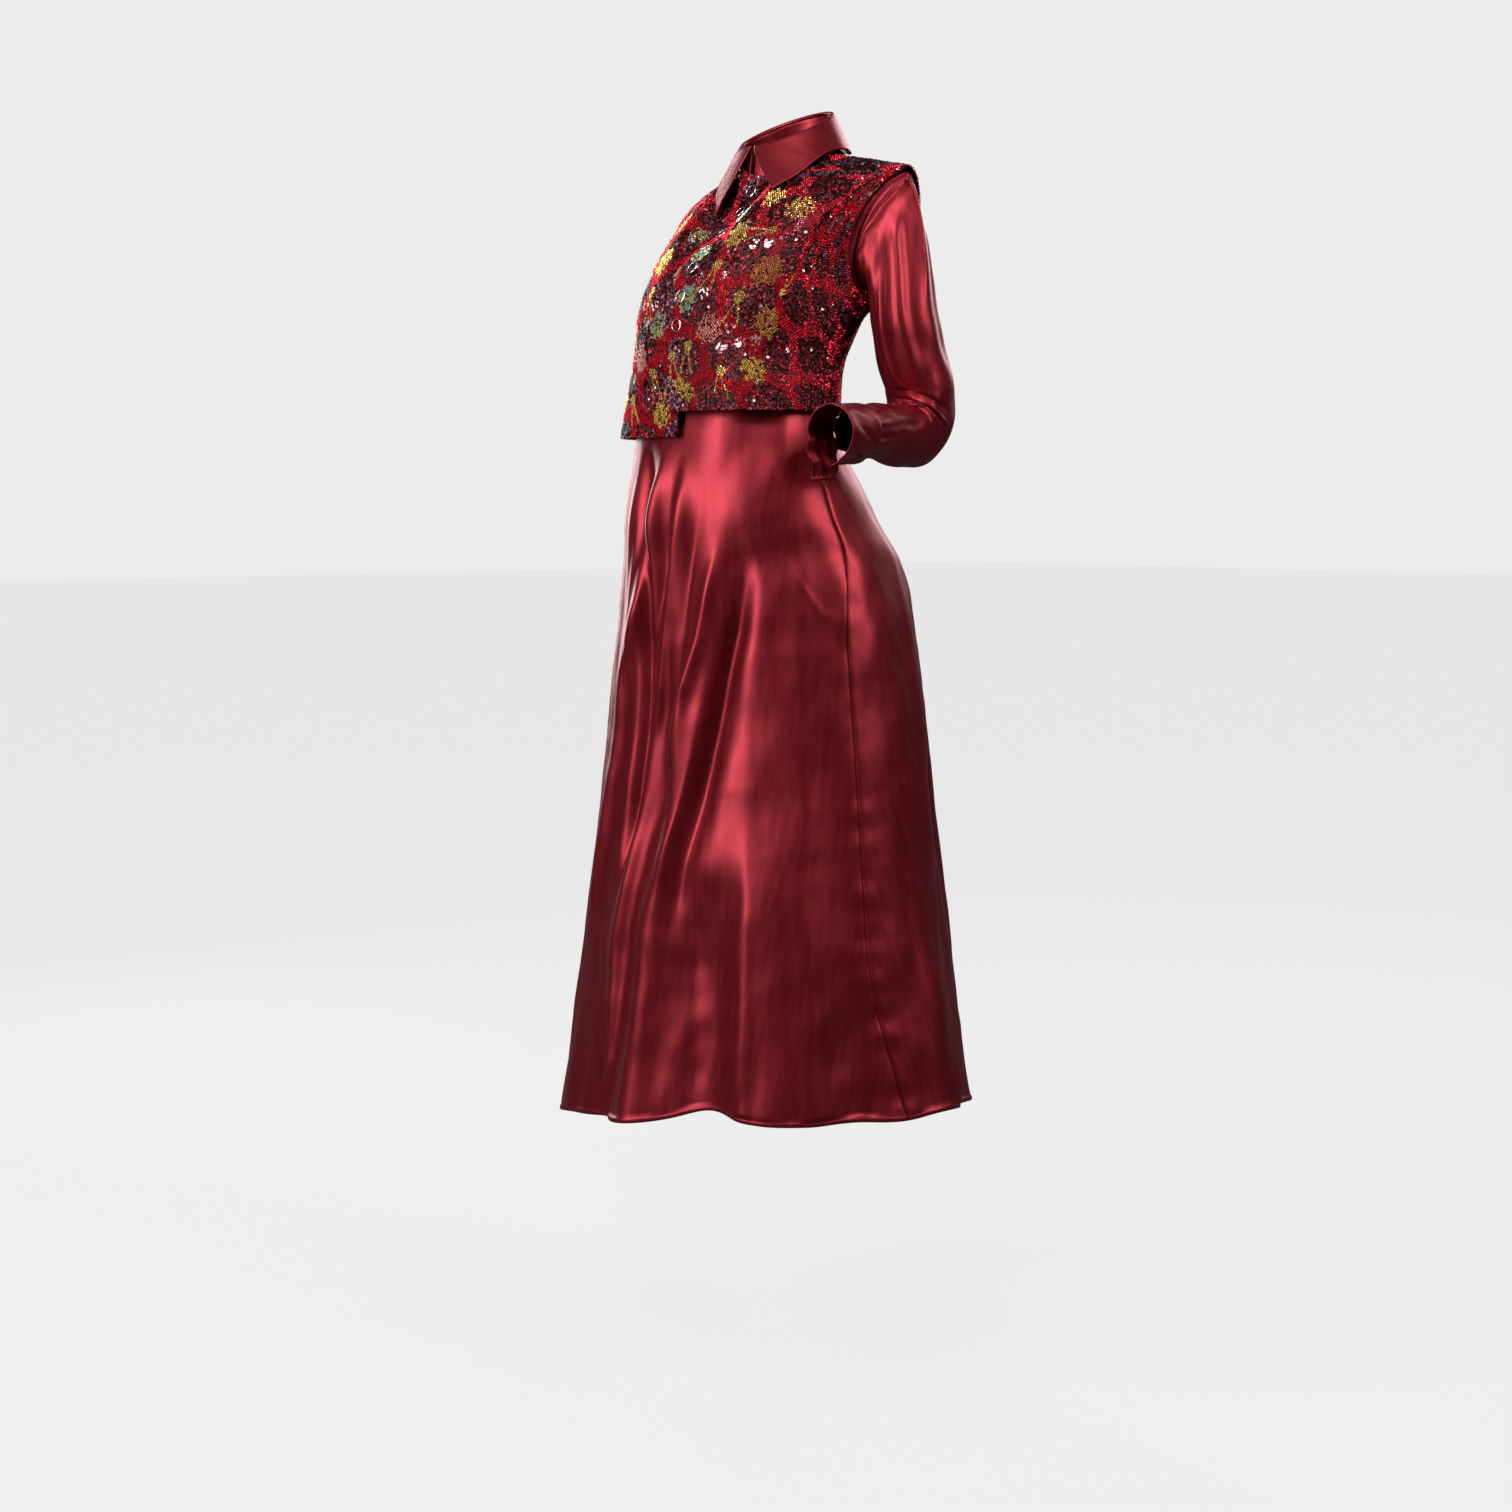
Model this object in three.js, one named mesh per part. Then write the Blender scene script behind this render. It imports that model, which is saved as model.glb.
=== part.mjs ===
// A long-sleeved satin shirt dress worn under a cropped vest, as it hangs on its wearer.
// Millimetres. +Z is up, the wearer faces -Y, and +X is the wearer's left.
// The origin is midway between the shoulder seams, at the height of their outer ends.

import * as THREE from 'three'

// Driving sizes

const shoulderHeight = 1420
const seamGap = 0.3
const satinThickness = 1.2
const vestThickness = 1.6
const collarThickness = 1.6
const cuffThickness = 1.6
const waistHeight = 1165
const frontHemHeight = 309
const hemTilt = 57
const hemHighAngle = 60

const satin = new THREE.MeshStandardMaterial({ color: 0x7d1526, roughness: 0.32, metalness: 0 })
const sequins = new THREE.MeshStandardMaterial({ color: 0x6a0f1a, roughness: 0.45, metalness: 0.3 })
const silver = new THREE.MeshStandardMaterial({ color: 0xb9b7b4, roughness: 0.25, metalness: 1 })

// Sections of the dress from the bust down: heights above the floor that the wearer stands on

const dressSections = [
  { height: 1325, halfWidth: 143, middle: -10, front: 121, back: 78, square: 2.3 },
  { height: 1285, halfWidth: 143, middle: -20, front: 132, back: 66, square: 2.3 },
  { height: 1252, halfWidth: 139, middle: -34, front: 122, back: 58, square: 2.4 },
  { height: 1206, halfWidth: 131, middle: -47, front: 112, back: 46, square: 2.5 },
  { height: 1165, halfWidth: 128, middle: -58, front: 102, back: 56, square: 2.5 },
  { height: 1120, halfWidth: 135, middle: -64, front: 104, back: 88, square: 2.5 },
  { height: 1043, halfWidth: 160, middle: -51, front: 126, back: 130, square: 2.3 },
  { height: 984, halfWidth: 178, middle: -31, front: 148, back: 148, square: 2.1 },
  { height: 901, halfWidth: 197, middle: -28, front: 153, back: 152, square: 2 },
  { height: 817, halfWidth: 208, middle: -27, front: 158, back: 158, square: 2 },
  { height: 576, halfWidth: 240, middle: -25, front: 186, back: 186, square: 2 },
  { height: 343, halfWidth: 278, middle: -27, front: 212, back: 212, square: 2 },
  { height: 230, halfWidth: 297, middle: -28, front: 225, back: 225, square: 2 },
]

const vestSections = [
  { height: 1325, halfWidth: 150, middle: -10, front: 139, back: 86, square: 2.2 },
  { height: 1285, halfWidth: 150, middle: -20, front: 147, back: 74, square: 2.2 },
  { height: 1252, halfWidth: 148, middle: -34, front: 137, back: 67, square: 2.2 },
  { height: 1206, halfWidth: 141, middle: -48, front: 125, back: 57, square: 2.4 },
  { height: 1165, halfWidth: 141, middle: -56, front: 119, back: 65, square: 2.8 },
  { height: 1118, halfWidth: 149, middle: -60, front: 119, back: 98, square: 2.9 },
]

// The torso leans a little to the wearer's right below the bust
const leanSections = [
  { height: 1340, lean: 0 },
  { height: 1230, lean: -10 },
  { height: 1000, lean: -10 },
  { height: 230, lean: -10 },
]

// Where the side seams of the skirt run, in degrees round from the centre front
const seamSections = [
  { height: 1165, angle: 90 },
  { height: 1030, angle: 83 },
  { height: 900, angle: 74 },
  { height: 576, angle: 74 },
  { height: 343, angle: 85 },
  { height: 230, angle: 87 },
]

// Folds of the skirt. Angles are degrees from the centre front towards the wearer's left,
// at the top and at the foot of the fold, and a negative depth is a valley.
const skirtFolds = [
  { top: 1120, foot: 240, topAngle: -36, footAngle: -38, depth: 9, width: 8 },
  { top: 1130, foot: 960, topAngle: -14, footAngle: -16, depth: -7, width: 5 },
  { top: 1125, foot: 800, topAngle: 1, footAngle: -24, depth: 8, width: 6 },
  { top: 1070, foot: 240, topAngle: 6, footAngle: -15, depth: -13, width: 6 },
  { top: 1120, foot: 760, topAngle: 12, footAngle: -2, depth: 7, width: 6 },
  { top: 1040, foot: 680, topAngle: 27, footAngle: 6, depth: 7, width: 6 },
  { top: 1040, foot: 620, topAngle: 39, footAngle: 14, depth: -7, width: 6 },
  { top: 660, foot: 240, topAngle: 20, footAngle: 23, depth: -22, width: 12 },
  { top: 700, foot: 240, topAngle: 2, footAngle: 0, depth: 13, width: 9 },
  { top: 760, foot: 240, topAngle: 44, footAngle: 46, depth: 12, width: 12 },
  { top: 560, foot: 240, topAngle: 68, footAngle: 68, depth: -9, width: 9 },
  { top: 600, foot: 240, topAngle: 99, footAngle: 101, depth: 11, width: 8 },
  { top: 820, foot: 240, topAngle: 124, footAngle: 122, depth: -14, width: 11 },
  { top: 1080, foot: 240, topAngle: 148, footAngle: 150, depth: 10, width: 12 },
  { top: 1100, foot: 240, topAngle: 171, footAngle: 175, depth: -14, width: 9 },
  { top: 1080, foot: 240, topAngle: 194, footAngle: 198, depth: 11, width: 11 },
  { top: 900, foot: 240, topAngle: 226, footAngle: 224, depth: -16, width: 11 },
  { top: 1060, foot: 240, topAngle: 250, footAngle: 252, depth: 11, width: 11 },
  { top: 860, foot: 240, topAngle: 280, footAngle: 278, depth: -15, width: 10 },
  { top: 1040, foot: 240, topAngle: 301, footAngle: 299, depth: 10, width: 9 },
]

// Lifts of the hem between the folds that rest lower
const hemLifts = [
  { angle: 24, lift: 12, width: 11 },
  { angle: 100, lift: 10, width: 12 },
  { angle: 140, lift: 22, width: 36 },
  { angle: 176, lift: 9, width: 12 },
  { angle: 280, lift: 10, width: 11 },
  { angle: 320, lift: 14, width: 34 },
]

// Middle line and half-sizes of each arm of the dress: across, on the crook side, on the elbow side
const leftArm = [
  { x: 184, y: 14, height: 1262, across: 40, crook: 44, elbow: 46 },
  { x: 181, y: 28, height: 1212, across: 41, crook: 41, elbow: 43 },
  { x: 179, y: 37, height: 1176, across: 41, crook: 33, elbow: 44 },
  { x: 179, y: 27, height: 1146, across: 39, crook: 24, elbow: 54 },
  { x: 186, y: -2, height: 1132, across: 37, crook: 28, elbow: 42 },
  { x: 199, y: -44, height: 1131, across: 34, crook: 30, elbow: 32 },
  { x: 215, y: -88, height: 1129, across: 30, crook: 29, elbow: 29 },
  { x: 233, y: -143, height: 1126, across: 28, crook: 30, elbow: 29 },
]

const rightArm = [
  { x: 192, y: 14, height: 1262, across: 40, crook: 44, elbow: 46 },
  { x: 203, y: 28, height: 1212, across: 41, crook: 42, elbow: 43 },
  { x: 211, y: 38, height: 1168, across: 40, crook: 39, elbow: 43 },
  { x: 218, y: 36, height: 1120, across: 38, crook: 36, elbow: 43 },
  { x: 227, y: 24, height: 1078, across: 36, crook: 35, elbow: 37 },
  { x: 239, y: 8, height: 1036, across: 33, crook: 33, elbow: 33 },
  { x: 247, y: -4, height: 1004, across: 29, crook: 29, elbow: 29 },
  { x: 255, y: -21, height: 952, across: 28, crook: 28, elbow: 28 },
]

const cuffStart = 6 / 7
const cuffGapShare = 0.0009
const sleeveSeamTop = 180
const sleeveSeamCuff = 262

// Neck and shoulders
const neckHalfWidth = 58
const neckMiddle = -5
const neckHalfDepth = 53
const neckHeight = 1444
const neckSlope = 0.45
const shoulderTip = { x: 178, y: 22, height: 1419 }

// The vest lies outside the bodice: how far at the shoulder and armhole, and where its edges run,
// as shares of the bodice's own lines
const vestEase = 6.4
const vestNeckShare = 0.4
const vestTipShare = 0.652
const vestNeckRise = 1.03
const vestUnderNeckRise = 0.985
const vestUnderarmDrop = 0.11

// Armholes from the shoulder tip down to the underarm, as pulls on a smooth curve
const armholeFront = [[160, -30, 1395], [140, -50, 1310], [143, -12, 1288]]
const armholeBack = [[168, 56, 1392], [148, 52, 1312], [143, -12, 1288]]

// Collar
const standHeight = 34
const standLift = 1.7
const collarOpening = 3.5
const leafRise = 2.2
const leafRows = 6

const snapRadius = 7
const snapWire = 0.8

// Small tools

const toAngle = degrees => degrees * Math.PI / 180
const mix = (a, b, t) => a + (b - a) * t
const clamp01 = t => Math.min(1, Math.max(0, t))

function smooth(t) {
  const c = clamp01(t)
  return c * c * (3 - 2 * c)
}

// A smooth curve through one named column of a table, without overshoot
function column(rows, name) {
  const sorted = [...rows].sort((a, b) => a.height - b.height)
  const heights = sorted.map(row => row.height)
  const values = sorted.map(row => row[name])
  const rises = heights.slice(1).map((h, i) => (values[i + 1] - values[i]) / (h - heights[i]))
  const slopes = values.map((_, i) => {
    if (i === 0) return rises[0]
    if (i === rises.length) return rises[i - 1]
    const before = rises[i - 1]
    const after = rises[i]
    return before * after <= 0 ? 0 : 2 * before * after / (before + after)
  })
  return height => {
    let i = heights.findIndex(h => height < h) - 1
    if (height >= heights[heights.length - 1]) i = heights.length - 2
    if (i < 0) i = 0
    const span = heights[i + 1] - heights[i]
    const t = (height - heights[i]) / span
    if (t < 0) return values[0] + slopes[0] * (height - heights[0])
    if (t > 1) return values[i + 1] + slopes[i + 1] * (height - heights[i + 1])
    const t2 = t * t
    const t3 = t2 * t
    return values[i] * (2 * t3 - 3 * t2 + 1) + slopes[i] * span * (t3 - 2 * t2 + t)
      + values[i + 1] * (3 * t2 - 2 * t3) + slopes[i + 1] * span * (t3 - t2)
  }
}

function bodyTable(rows) {
  return {
    halfWidth: column(rows, 'halfWidth'),
    middle: column(rows, 'middle'),
    front: column(rows, 'front'),
    back: column(rows, 'back'),
    square: column(rows, 'square'),
  }
}

const dressTable = bodyTable(dressSections)
const vestTable = bodyTable(vestSections)
const leanAt = column(leanSections, 'lean')
const seamAngleAt = column(seamSections, 'angle')

// A point of a body table's section, turned round from the centre front, and moved out by push.
// A half that is made to be mirrored has its lean turned round, with leanWay -1.
function sectionPoint(table, degrees, height, push = 0, leanWay = 1) {
  const turn = toAngle(degrees)
  const wide = Math.sin(turn)
  const deep = -Math.cos(turn)
  const inFront = deep < 0
  const square = inFront ? table.square(height) : 2
  const depth = inFront ? table.front(height) : table.back(height)
  const power = 2 / square
  const width = table.halfWidth(height)
  const x = width * Math.sign(wide) * Math.abs(wide) ** power
  const y = table.middle(height) + depth * Math.sign(deep) * Math.abs(deep) ** power
  const out = new THREE.Vector2(wide / width, deep / depth).normalize()
  const lean = leanWay * leanAt(height)
  return new THREE.Vector3(x + lean + out.x * push, y + out.y * push, height - shoulderHeight)
}

function place(point) {
  return new THREE.Vector3(point[0], point[1], point[2] - shoulderHeight)
}

// The lengths of a surface's lines, used to leave a fixed gap at its edges
function lineLength(pointAt) {
  let total = 0
  let last = pointAt(0)
  for (let i = 1; i <= 10; i++) {
    const next = pointAt(i / 10)
    total += next.distanceTo(last)
    last = next
  }
  return total
}

function trimmed(surface, gaps) {
  return (s, t) => {
    const across = lineLength(k => surface(k, t)) || 1
    const s2 = mix(gaps.start / across, 1 - gaps.end / across, s)
    const along = lineLength(k => surface(s2, k)) || 1
    const t2 = mix(gaps.foot / along, 1 - gaps.head / along, t)
    return surface(s2, t2)
  }
}

const allRound = gap => ({ start: gap, end: gap, foot: gap, head: gap })

// The way out from a surface. The cross product of its two directions, times side, points outward.
function outwardAt(surface, s, t, side) {
  const step = 0.004
  const alongS = surface(Math.min(1, s + step), t).sub(surface(Math.max(0, s - step), t))
  const alongT = surface(s, Math.min(1, t + step)).sub(surface(s, Math.max(0, t - step)))
  return alongS.cross(alongT).normalize().multiplyScalar(side)
}

// A closed wall on a surface: its inner face is the surface, and its outer face lies outward from it
function wall(surface, across, along, thickness, side) {
  const rowLength = along + 1
  const inner = []
  const outer = []
  for (let i = 0; i <= across; i++) {
    for (let j = 0; j <= along; j++) {
      const s = i / across
      const t = j / along
      const point = surface(s, t)
      inner.push(point)
      outer.push(point.clone().addScaledVector(outwardAt(surface, s, t, side), thickness))
    }
  }
  const positions = [...inner, ...outer].flatMap(p => [p.x, p.y, p.z])
  const shift = inner.length
  const faces = []
  const quad = (a, b, c, d) => {
    if (side > 0) faces.push(a, b, c, a, c, d)
    else faces.push(a, c, b, a, d, c)
  }
  for (let i = 0; i < across; i++) {
    for (let j = 0; j < along; j++) {
      const a = i * rowLength + j
      const b = a + rowLength
      quad(a + 1, b + 1, b, a)
      quad(shift + a, shift + b, shift + b + 1, shift + a + 1)
    }
    const foot = i * rowLength
    const head = foot + along
    quad(foot, foot + rowLength, shift + foot + rowLength, shift + foot)
    quad(head + rowLength, head, shift + head, shift + head + rowLength)
  }
  for (let j = 0; j < along; j++) {
    const start = j
    const end = across * rowLength + j
    quad(start + 1, start, shift + start, shift + start + 1)
    quad(end, end + 1, shift + end + 1, shift + end)
  }
  const geometry = new THREE.BufferGeometry()
  geometry.setAttribute('position', new THREE.Float32BufferAttribute(positions, 3))
  geometry.setIndex(faces)
  geometry.computeVertexNormals()
  return geometry
}

const garment = new THREE.Group()

function add(name, geometry, material) {
  const mesh = new THREE.Mesh(geometry, material)
  mesh.name = name
  garment.add(mesh)
}

// Torso pieces, from a bottom line up to the neck, shoulder and armhole

function curve4(p0, p1, p2, p3, t) {
  const r = 1 - t
  return new THREE.Vector3()
    .addScaledVector(p0, r * r * r)
    .addScaledVector(p1, 3 * r * r * t)
    .addScaledVector(p2, 3 * r * t * t)
    .addScaledVector(p3, t * t * t)
}

function neckPoint(degrees) {
  const turn = toAngle(degrees)
  const y = neckMiddle - neckHalfDepth * Math.cos(turn)
  const height = neckHeight + neckSlope * (y - neckMiddle)
  return new THREE.Vector3(neckHalfWidth * Math.sin(turn), y, height - shoulderHeight)
}

const tipPoint = place([shoulderTip.x, shoulderTip.y, shoulderTip.height])
const frontPulls = armholeFront.map(place)
const backPulls = armholeBack.map(place)
const bendShare = 0.55

// A front has 15 columns: 4 over the neckline, 3 over the shoulder and 8 round the armhole,
// which are where the sleeve's own columns meet it
const halfColumns = 15
const neckShare = 4 / halfColumns
const tipShare = 7 / halfColumns

// The vest has 7 over its neckline, to follow its lap, and the same ones beyond
const vestColumns = 18
const vestNeckAt = 7 / vestColumns
const vestTipAt = 10 / vestColumns

function spread(s, neckAt, tipAt, neck, tip) {
  if (s < neckAt) return mix(0, neck, s / neckAt)
  if (s < tipAt) return mix(neck, tip, (s - neckAt) / (tipAt - neckAt))
  return mix(tip, 1, (s - tipAt) / (1 - tipAt))
}

const bodicePart = s => spread(s, neckShare, tipShare, 1 / 3, 2 / 3)
const vestPart = s => spread(s, vestNeckAt, vestTipAt, vestNeckShare, vestTipShare)

// The top edge of half a torso: part runs from the centre (0) over the neckline (to 1/3),
// the shoulder seam (to 2/3) and the armhole (to the underarm at 1)
function topEdge(part, isBack) {
  if (part < 1 / 3) return neckPoint(isBack ? 180 - part * 270 : part * 270)
  if (part < 2 / 3) return neckPoint(90).lerp(tipPoint, (part - 1 / 3) * 3)
  const pulls = isBack ? backPulls : frontPulls
  return curve4(tipPoint, pulls[0], pulls[1], pulls[2], (part - 2 / 3) * 3)
}

// Along the armhole, from the shoulder tip to the underarm: the way out from the body,
// and the way the cloth runs as it reaches the edge. The y values are those of a front and of a back.
const armholeOutward = [
  { x: 0.1, frontY: -0.12, backY: 0.12, z: 1 },
  { x: 0.2, frontY: -0.6, backY: 0.6, z: 0.75 },
  { x: 0.6, frontY: -0.8, backY: 0.8, z: 0.15 },
  { x: 1, frontY: -0.15, backY: 0.15, z: 0 },
  { x: 1, frontY: 0, backY: 0, z: 0 },
]
const armholeArrival = [
  { x: 0.45, frontY: 0.8, backY: -0.8, z: 0.25 },
  { x: 0.65, frontY: 0.65, backY: -0.6, z: 0.33 },
  { x: 0.64, frontY: 0.64, backY: -0.4, z: 0.43 },
  { x: 0.35, frontY: 0.6, backY: 0, z: 0.7 },
  { x: 0.1, frontY: 0, backY: 0, z: 1 },
]

function alongArmhole(rows, part, isBack) {
  const place = Math.min((part - 2 / 3) * 3 * (rows.length - 1), rows.length - 1.001)
  const row = Math.floor(place)
  const before = rows[row]
  const after = rows[row + 1]
  const share = place - row
  const y = isBack ? 'backY' : 'frontY'
  return new THREE.Vector3(
    mix(before.x, after.x, share),
    mix(before[y], after[y], share),
    mix(before.z, after.z, share)).normalize()
}

function topOutward(part, isBack) {
  const away = isBack ? 1 : -1
  if (part < 2 / 3) {
    const neck = new THREE.Vector3(0.15, away * 1.3, 0.4)
    return neck.lerp(new THREE.Vector3(0.1, away * 0.12, 1), smooth(part * 3.2))
  }
  return alongArmhole(armholeOutward, part, isBack)
}

// How the cloth arrives at its top edge: upright at the neck, lying back at the shoulder,
// and from the middle of the body at the armhole
function topPull(part, isBack) {
  if (part > 2 / 3) return alongArmhole(armholeArrival, part, isBack)
  const lying = new THREE.Vector3(0, isBack ? -0.9 : 0.9, 0.5)
  const upright = new THREE.Vector3(0, isBack ? 0 : 0.1, 1)
  return upright.lerp(lying, smooth(part * 3.4)).normalize()
    .lerp(alongArmhole(armholeArrival, 2 / 3, isBack), smooth(part * 3 - 1))
}

// Where round the body a line starts: the lines of the armhole start close to the side of the body
const tipTurn = 52

function baseTurn(part) {
  if (part < 2 / 3) return tipTurn * part * 1.5
  const way = (part - 2 / 3) * 3
  return tipTurn + (90 - tipTurn) * way ** 1.8
}

// How strongly the chest goes on upwards before it turns back to the neck
const riseShare = 0.7

// A point of the vest's surface on the wearer's left: part 0 at the centre to 1 at the side,
// rise 0 at the given bottom height to 1 over the bodice's top edge
function torsoPoint(part, rise, isBack, bottom, leanWay = 1) {
  const degrees = isBack ? 180 - baseTurn(part) : baseTurn(part)
  const top = topEdge(part, isBack)
  const topHeight = top.z + shoulderHeight
  const bendHeight = mix(waistHeight, topHeight, bendShare)
  const share = (bendHeight - bottom) / (topHeight - bottom)
  if (rise <= share) {
    return sectionPoint(vestTable, degrees, mix(bottom, bendHeight, rise / share), 0, leanWay)
  }
  top.addScaledVector(topOutward(part, isBack), vestEase)
  const start = sectionPoint(vestTable, degrees, bendHeight, 0, leanWay)
  const below = sectionPoint(vestTable, degrees, bendHeight - 4, 0, leanWay)
  const reach = start.distanceTo(top) * 0.4
  const up = start.clone().sub(below).normalize().multiplyScalar(reach * riseShare)
  const pull = topPull(part, isBack).normalize().multiplyScalar(reach)
  const bend = (rise - share) / (1 - share)
  if (bend > 1) return top.addScaledVector(pull, 3 * (bend - 1))
  return curve4(start, start.clone().add(up), top.clone().sub(pull), top, bend)
}

const flip = point => new THREE.Vector3(-point.x, point.y, point.z)

// The same for both halves. Below part 0 it carries on round the centre, and past 1 round the side.
function roundPoint(side, part, rise, isBack, bottom) {
  if (part < 0) return roundPoint(-side, -part, rise, isBack, bottom)
  if (part > 1) return roundPoint(side, 2 - part, rise, !isBack, bottom)
  if (side > 0) return torsoPoint(part, rise, isBack, bottom)
  return flip(torsoPoint(part, rise, isBack, bottom, -1))
}

function roundOutward(side, part, rise, isBack, bottom) {
  const step = 0.012
  const alongPart = roundPoint(side, part + step, rise, isBack, bottom)
    .sub(roundPoint(side, part - step, rise, isBack, bottom))
  const alongRise = roundPoint(side, part, rise + step, isBack, bottom)
    .sub(roundPoint(side, part, Math.max(0, rise - step), isBack, bottom))
  return alongPart.cross(alongRise).normalize().multiplyScalar(isBack ? -side : side)
}

// The bodice lies inside the vest's surface, down to its own sections at the waist
function bodicePoint(side, part, rise, isBack) {
  const degrees = isBack ? 180 - baseTurn(part) : baseTurn(part)
  const topHeight = topEdge(part, isBack).z + shoulderHeight
  const bendHeight = mix(waistHeight, topHeight, bendShare)
  const share = (bendHeight - waistHeight) / (topHeight - waistHeight)
  if (rise <= share) {
    const low = sectionPoint(dressTable, degrees, mix(waistHeight, bendHeight, rise / share), 0, side)
    return side > 0 ? low : flip(low)
  }
  const apart = sectionPoint(vestTable, degrees, bendHeight)
    .distanceTo(sectionPoint(dressTable, degrees, bendHeight))
  const bend = (rise - share) / (1 - share)
  const inset = mix(apart, vestEase, smooth(bend))
  const edgeOut = topOutward(part, isBack)
  edgeOut.x *= side
  const out = roundOutward(side, part, rise, isBack, waistHeight).lerp(edgeOut, bend ** 2)
  return roundPoint(side, part, rise, isBack, waistHeight).addScaledVector(out, -inset)
}

function bodice() {
  const gaps = { start: seamGap / 2, end: seamGap / 2, foot: seamGap / 2, head: seamGap }
  const left = (s, t) => bodicePoint(1, bodicePart(s), t, false)
  const right = (s, t) => bodicePoint(-1, bodicePart(s), t, false)
  const back = (s, t) => s < 0.5
    ? bodicePoint(1, bodicePart(1 - 2 * s), t, true)
    : bodicePoint(-1, bodicePart(2 * s - 1), t, true)
  add('bodice_front_left', wall(trimmed(left, gaps), halfColumns, 8, satinThickness, 1), satin)
  add('bodice_front_right', wall(trimmed(right, gaps), halfColumns, 8, satinThickness, -1), satin)
  add('bodice_back', wall(trimmed(back, gaps), 2 * halfColumns, 8, satinThickness, 1), satin)
}

// Vest: the left front laps over the right one, which hangs lower

const lapPart = 0.036
const lapFade = 0.16
const underDepth = 4.8
const underDepthAtNeck = 4.1
const vestLeftHem = 1154
const vestRightHem = 1126

function vestBottom(degrees) {
  if (degrees <= 90) return vestLeftHem
  if (degrees >= 270) return vestRightHem
  return mix(vestLeftHem, vestRightHem, smooth((degrees - 90) / 180))
}

function vestTopRise(side, s, isBack) {
  if (s < vestNeckAt) {
    const way = s / vestNeckAt
    const scoop = Math.sin(Math.PI * way)
    const centre = isBack ? 1.01 : side > 0 ? vestNeckRise : vestUnderNeckRise
    return mix(centre, 1, smooth(way)) - (isBack ? 0.035 : 0.05) * scoop
  }
  if (s < vestTipAt) return 1
  return 1 - vestUnderarmDrop * smooth((s - vestTipAt) / (1 - vestTipAt))
}

function vestPoint(side, part, s, t, isBack, bottom) {
  return roundPoint(side, part, t * vestTopRise(side, s, isBack), isBack, bottom)
}

// The left front's edge swings back below the last snap
function lapAt(side, rise) {
  return side > 0 ? lapPart * (1 - 1.5 * smooth((0.26 - rise) / 0.26)) : lapPart
}

function vestFrontPoint(side, s, t) {
  const bottom = side > 0 ? vestLeftHem : vestRightHem
  const part = vestPart(s) - lapAt(side, t) * (1 - smooth(vestPart(s) / lapFade))
  return vestPoint(side, part, s, t, false, bottom)
}

function vestFrontRight(s, t) {
  const plain = (u, v) => vestFrontPoint(-1, u, v)
  const under = 1 - smooth((vestPart(s) - 0.08) / 0.09)
  const depth = mix(underDepth, underDepthAtNeck, smooth((t - 0.8) / 0.15))
  return plain(s, t).addScaledVector(outwardAt(plain, s, t, -1), -depth * under)
}

function vestBackPoint(side, s, t) {
  const half = vestPart(s)
  return vestPoint(side, half, s, t, true, vestBottom(180 - side * baseTurn(half)))
}

function vest() {
  const fronts = { start: 0, end: seamGap, foot: 0, head: seamGap }
  const backs = { start: seamGap, end: seamGap, foot: 0, head: seamGap }
  const left = (s, t) => vestFrontPoint(1, s, t)
  const back = (s, t) => s < 0.5
    ? vestBackPoint(1, 1 - 2 * s, t)
    : vestBackPoint(-1, 2 * s - 1, t)
  add('vest_front_left', wall(trimmed(left, fronts), vestColumns, 10, vestThickness, 1), sequins)
  add('vest_front_right', wall(trimmed(vestFrontRight, fronts), vestColumns, 10, vestThickness, -1), sequins)
  add('vest_back', wall(trimmed(back, backs), 2 * vestColumns, 10, vestThickness, 1), sequins)
}

// Where each snap sits on the left front, from the neck down, and how far the hollow lets it stand off
const snapRows = [
  { rise: 0.95, lift: 1.6 },
  { rise: 0.87, lift: 1.8 },
  { rise: 0.77, lift: 1.6 },
  { rise: 0.69, lift: 0.9 },
  { rise: 0.6, lift: 0.4 },
  { rise: 0.48, lift: 0.2 },
  { rise: 0.36, lift: 0.4 },
]

const snapAcross = 0.073

function snaps() {
  const front = (s, t) => vestFrontPoint(1, s, t)
  snapRows.forEach(({ rise, lift }, i) => {
    const across = snapAcross
    const out = outwardAt(front, across, rise, 1)
    const up = front(across, rise + 0.02).sub(front(across, rise - 0.02))
    up.addScaledVector(out, -up.dot(out)).normalize()
    const sideways = up.clone().cross(out).normalize()
    const middle = front(across, rise).addScaledVector(out, vestThickness + snapWire + lift)
    const ring = new THREE.TorusGeometry(snapRadius, snapWire, 5, 12)
    ring.applyMatrix4(new THREE.Matrix4().makeBasis(sideways, up, out).setPosition(middle))
    add(`snap_${i + 1}`, ring, silver)
  })
}

// Skirt

function hemAt(degrees) {
  let height = frontHemHeight + hemTilt * Math.cos(toAngle(degrees - hemHighAngle))
  for (const { angle, lift, width } of hemLifts) height += lift * bump(degrees, angle, width)
  return height
}

function bump(degrees, middle, width) {
  const off = ((degrees - middle + 540) % 360) - 180
  return Math.exp(-(off * off) / (width * width))
}

function foldDepth(degrees, height) {
  let total = 0
  for (const fold of skirtFolds) {
    const down = (fold.top - height) / (fold.top - fold.foot)
    if (down <= 0) continue
    const fadesOut = fold.foot > frontHemHeight
    const grow = smooth(down * 3)
    const fade = fadesOut ? 1 - smooth((down - 0.6) / 0.4) : 1
    const angle = mix(fold.topAngle, fold.footAngle, Math.min(down, 1))
    total += fold.depth * grow * fade * bump(degrees, angle, fold.width)
  }
  return total
}

function skirtPoint(degrees, down, push = 0) {
  const height = mix(waistHeight, hemAt(degrees), down)
  return sectionPoint(dressTable, degrees, height, push + foldDepth(degrees, height))
}

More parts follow.
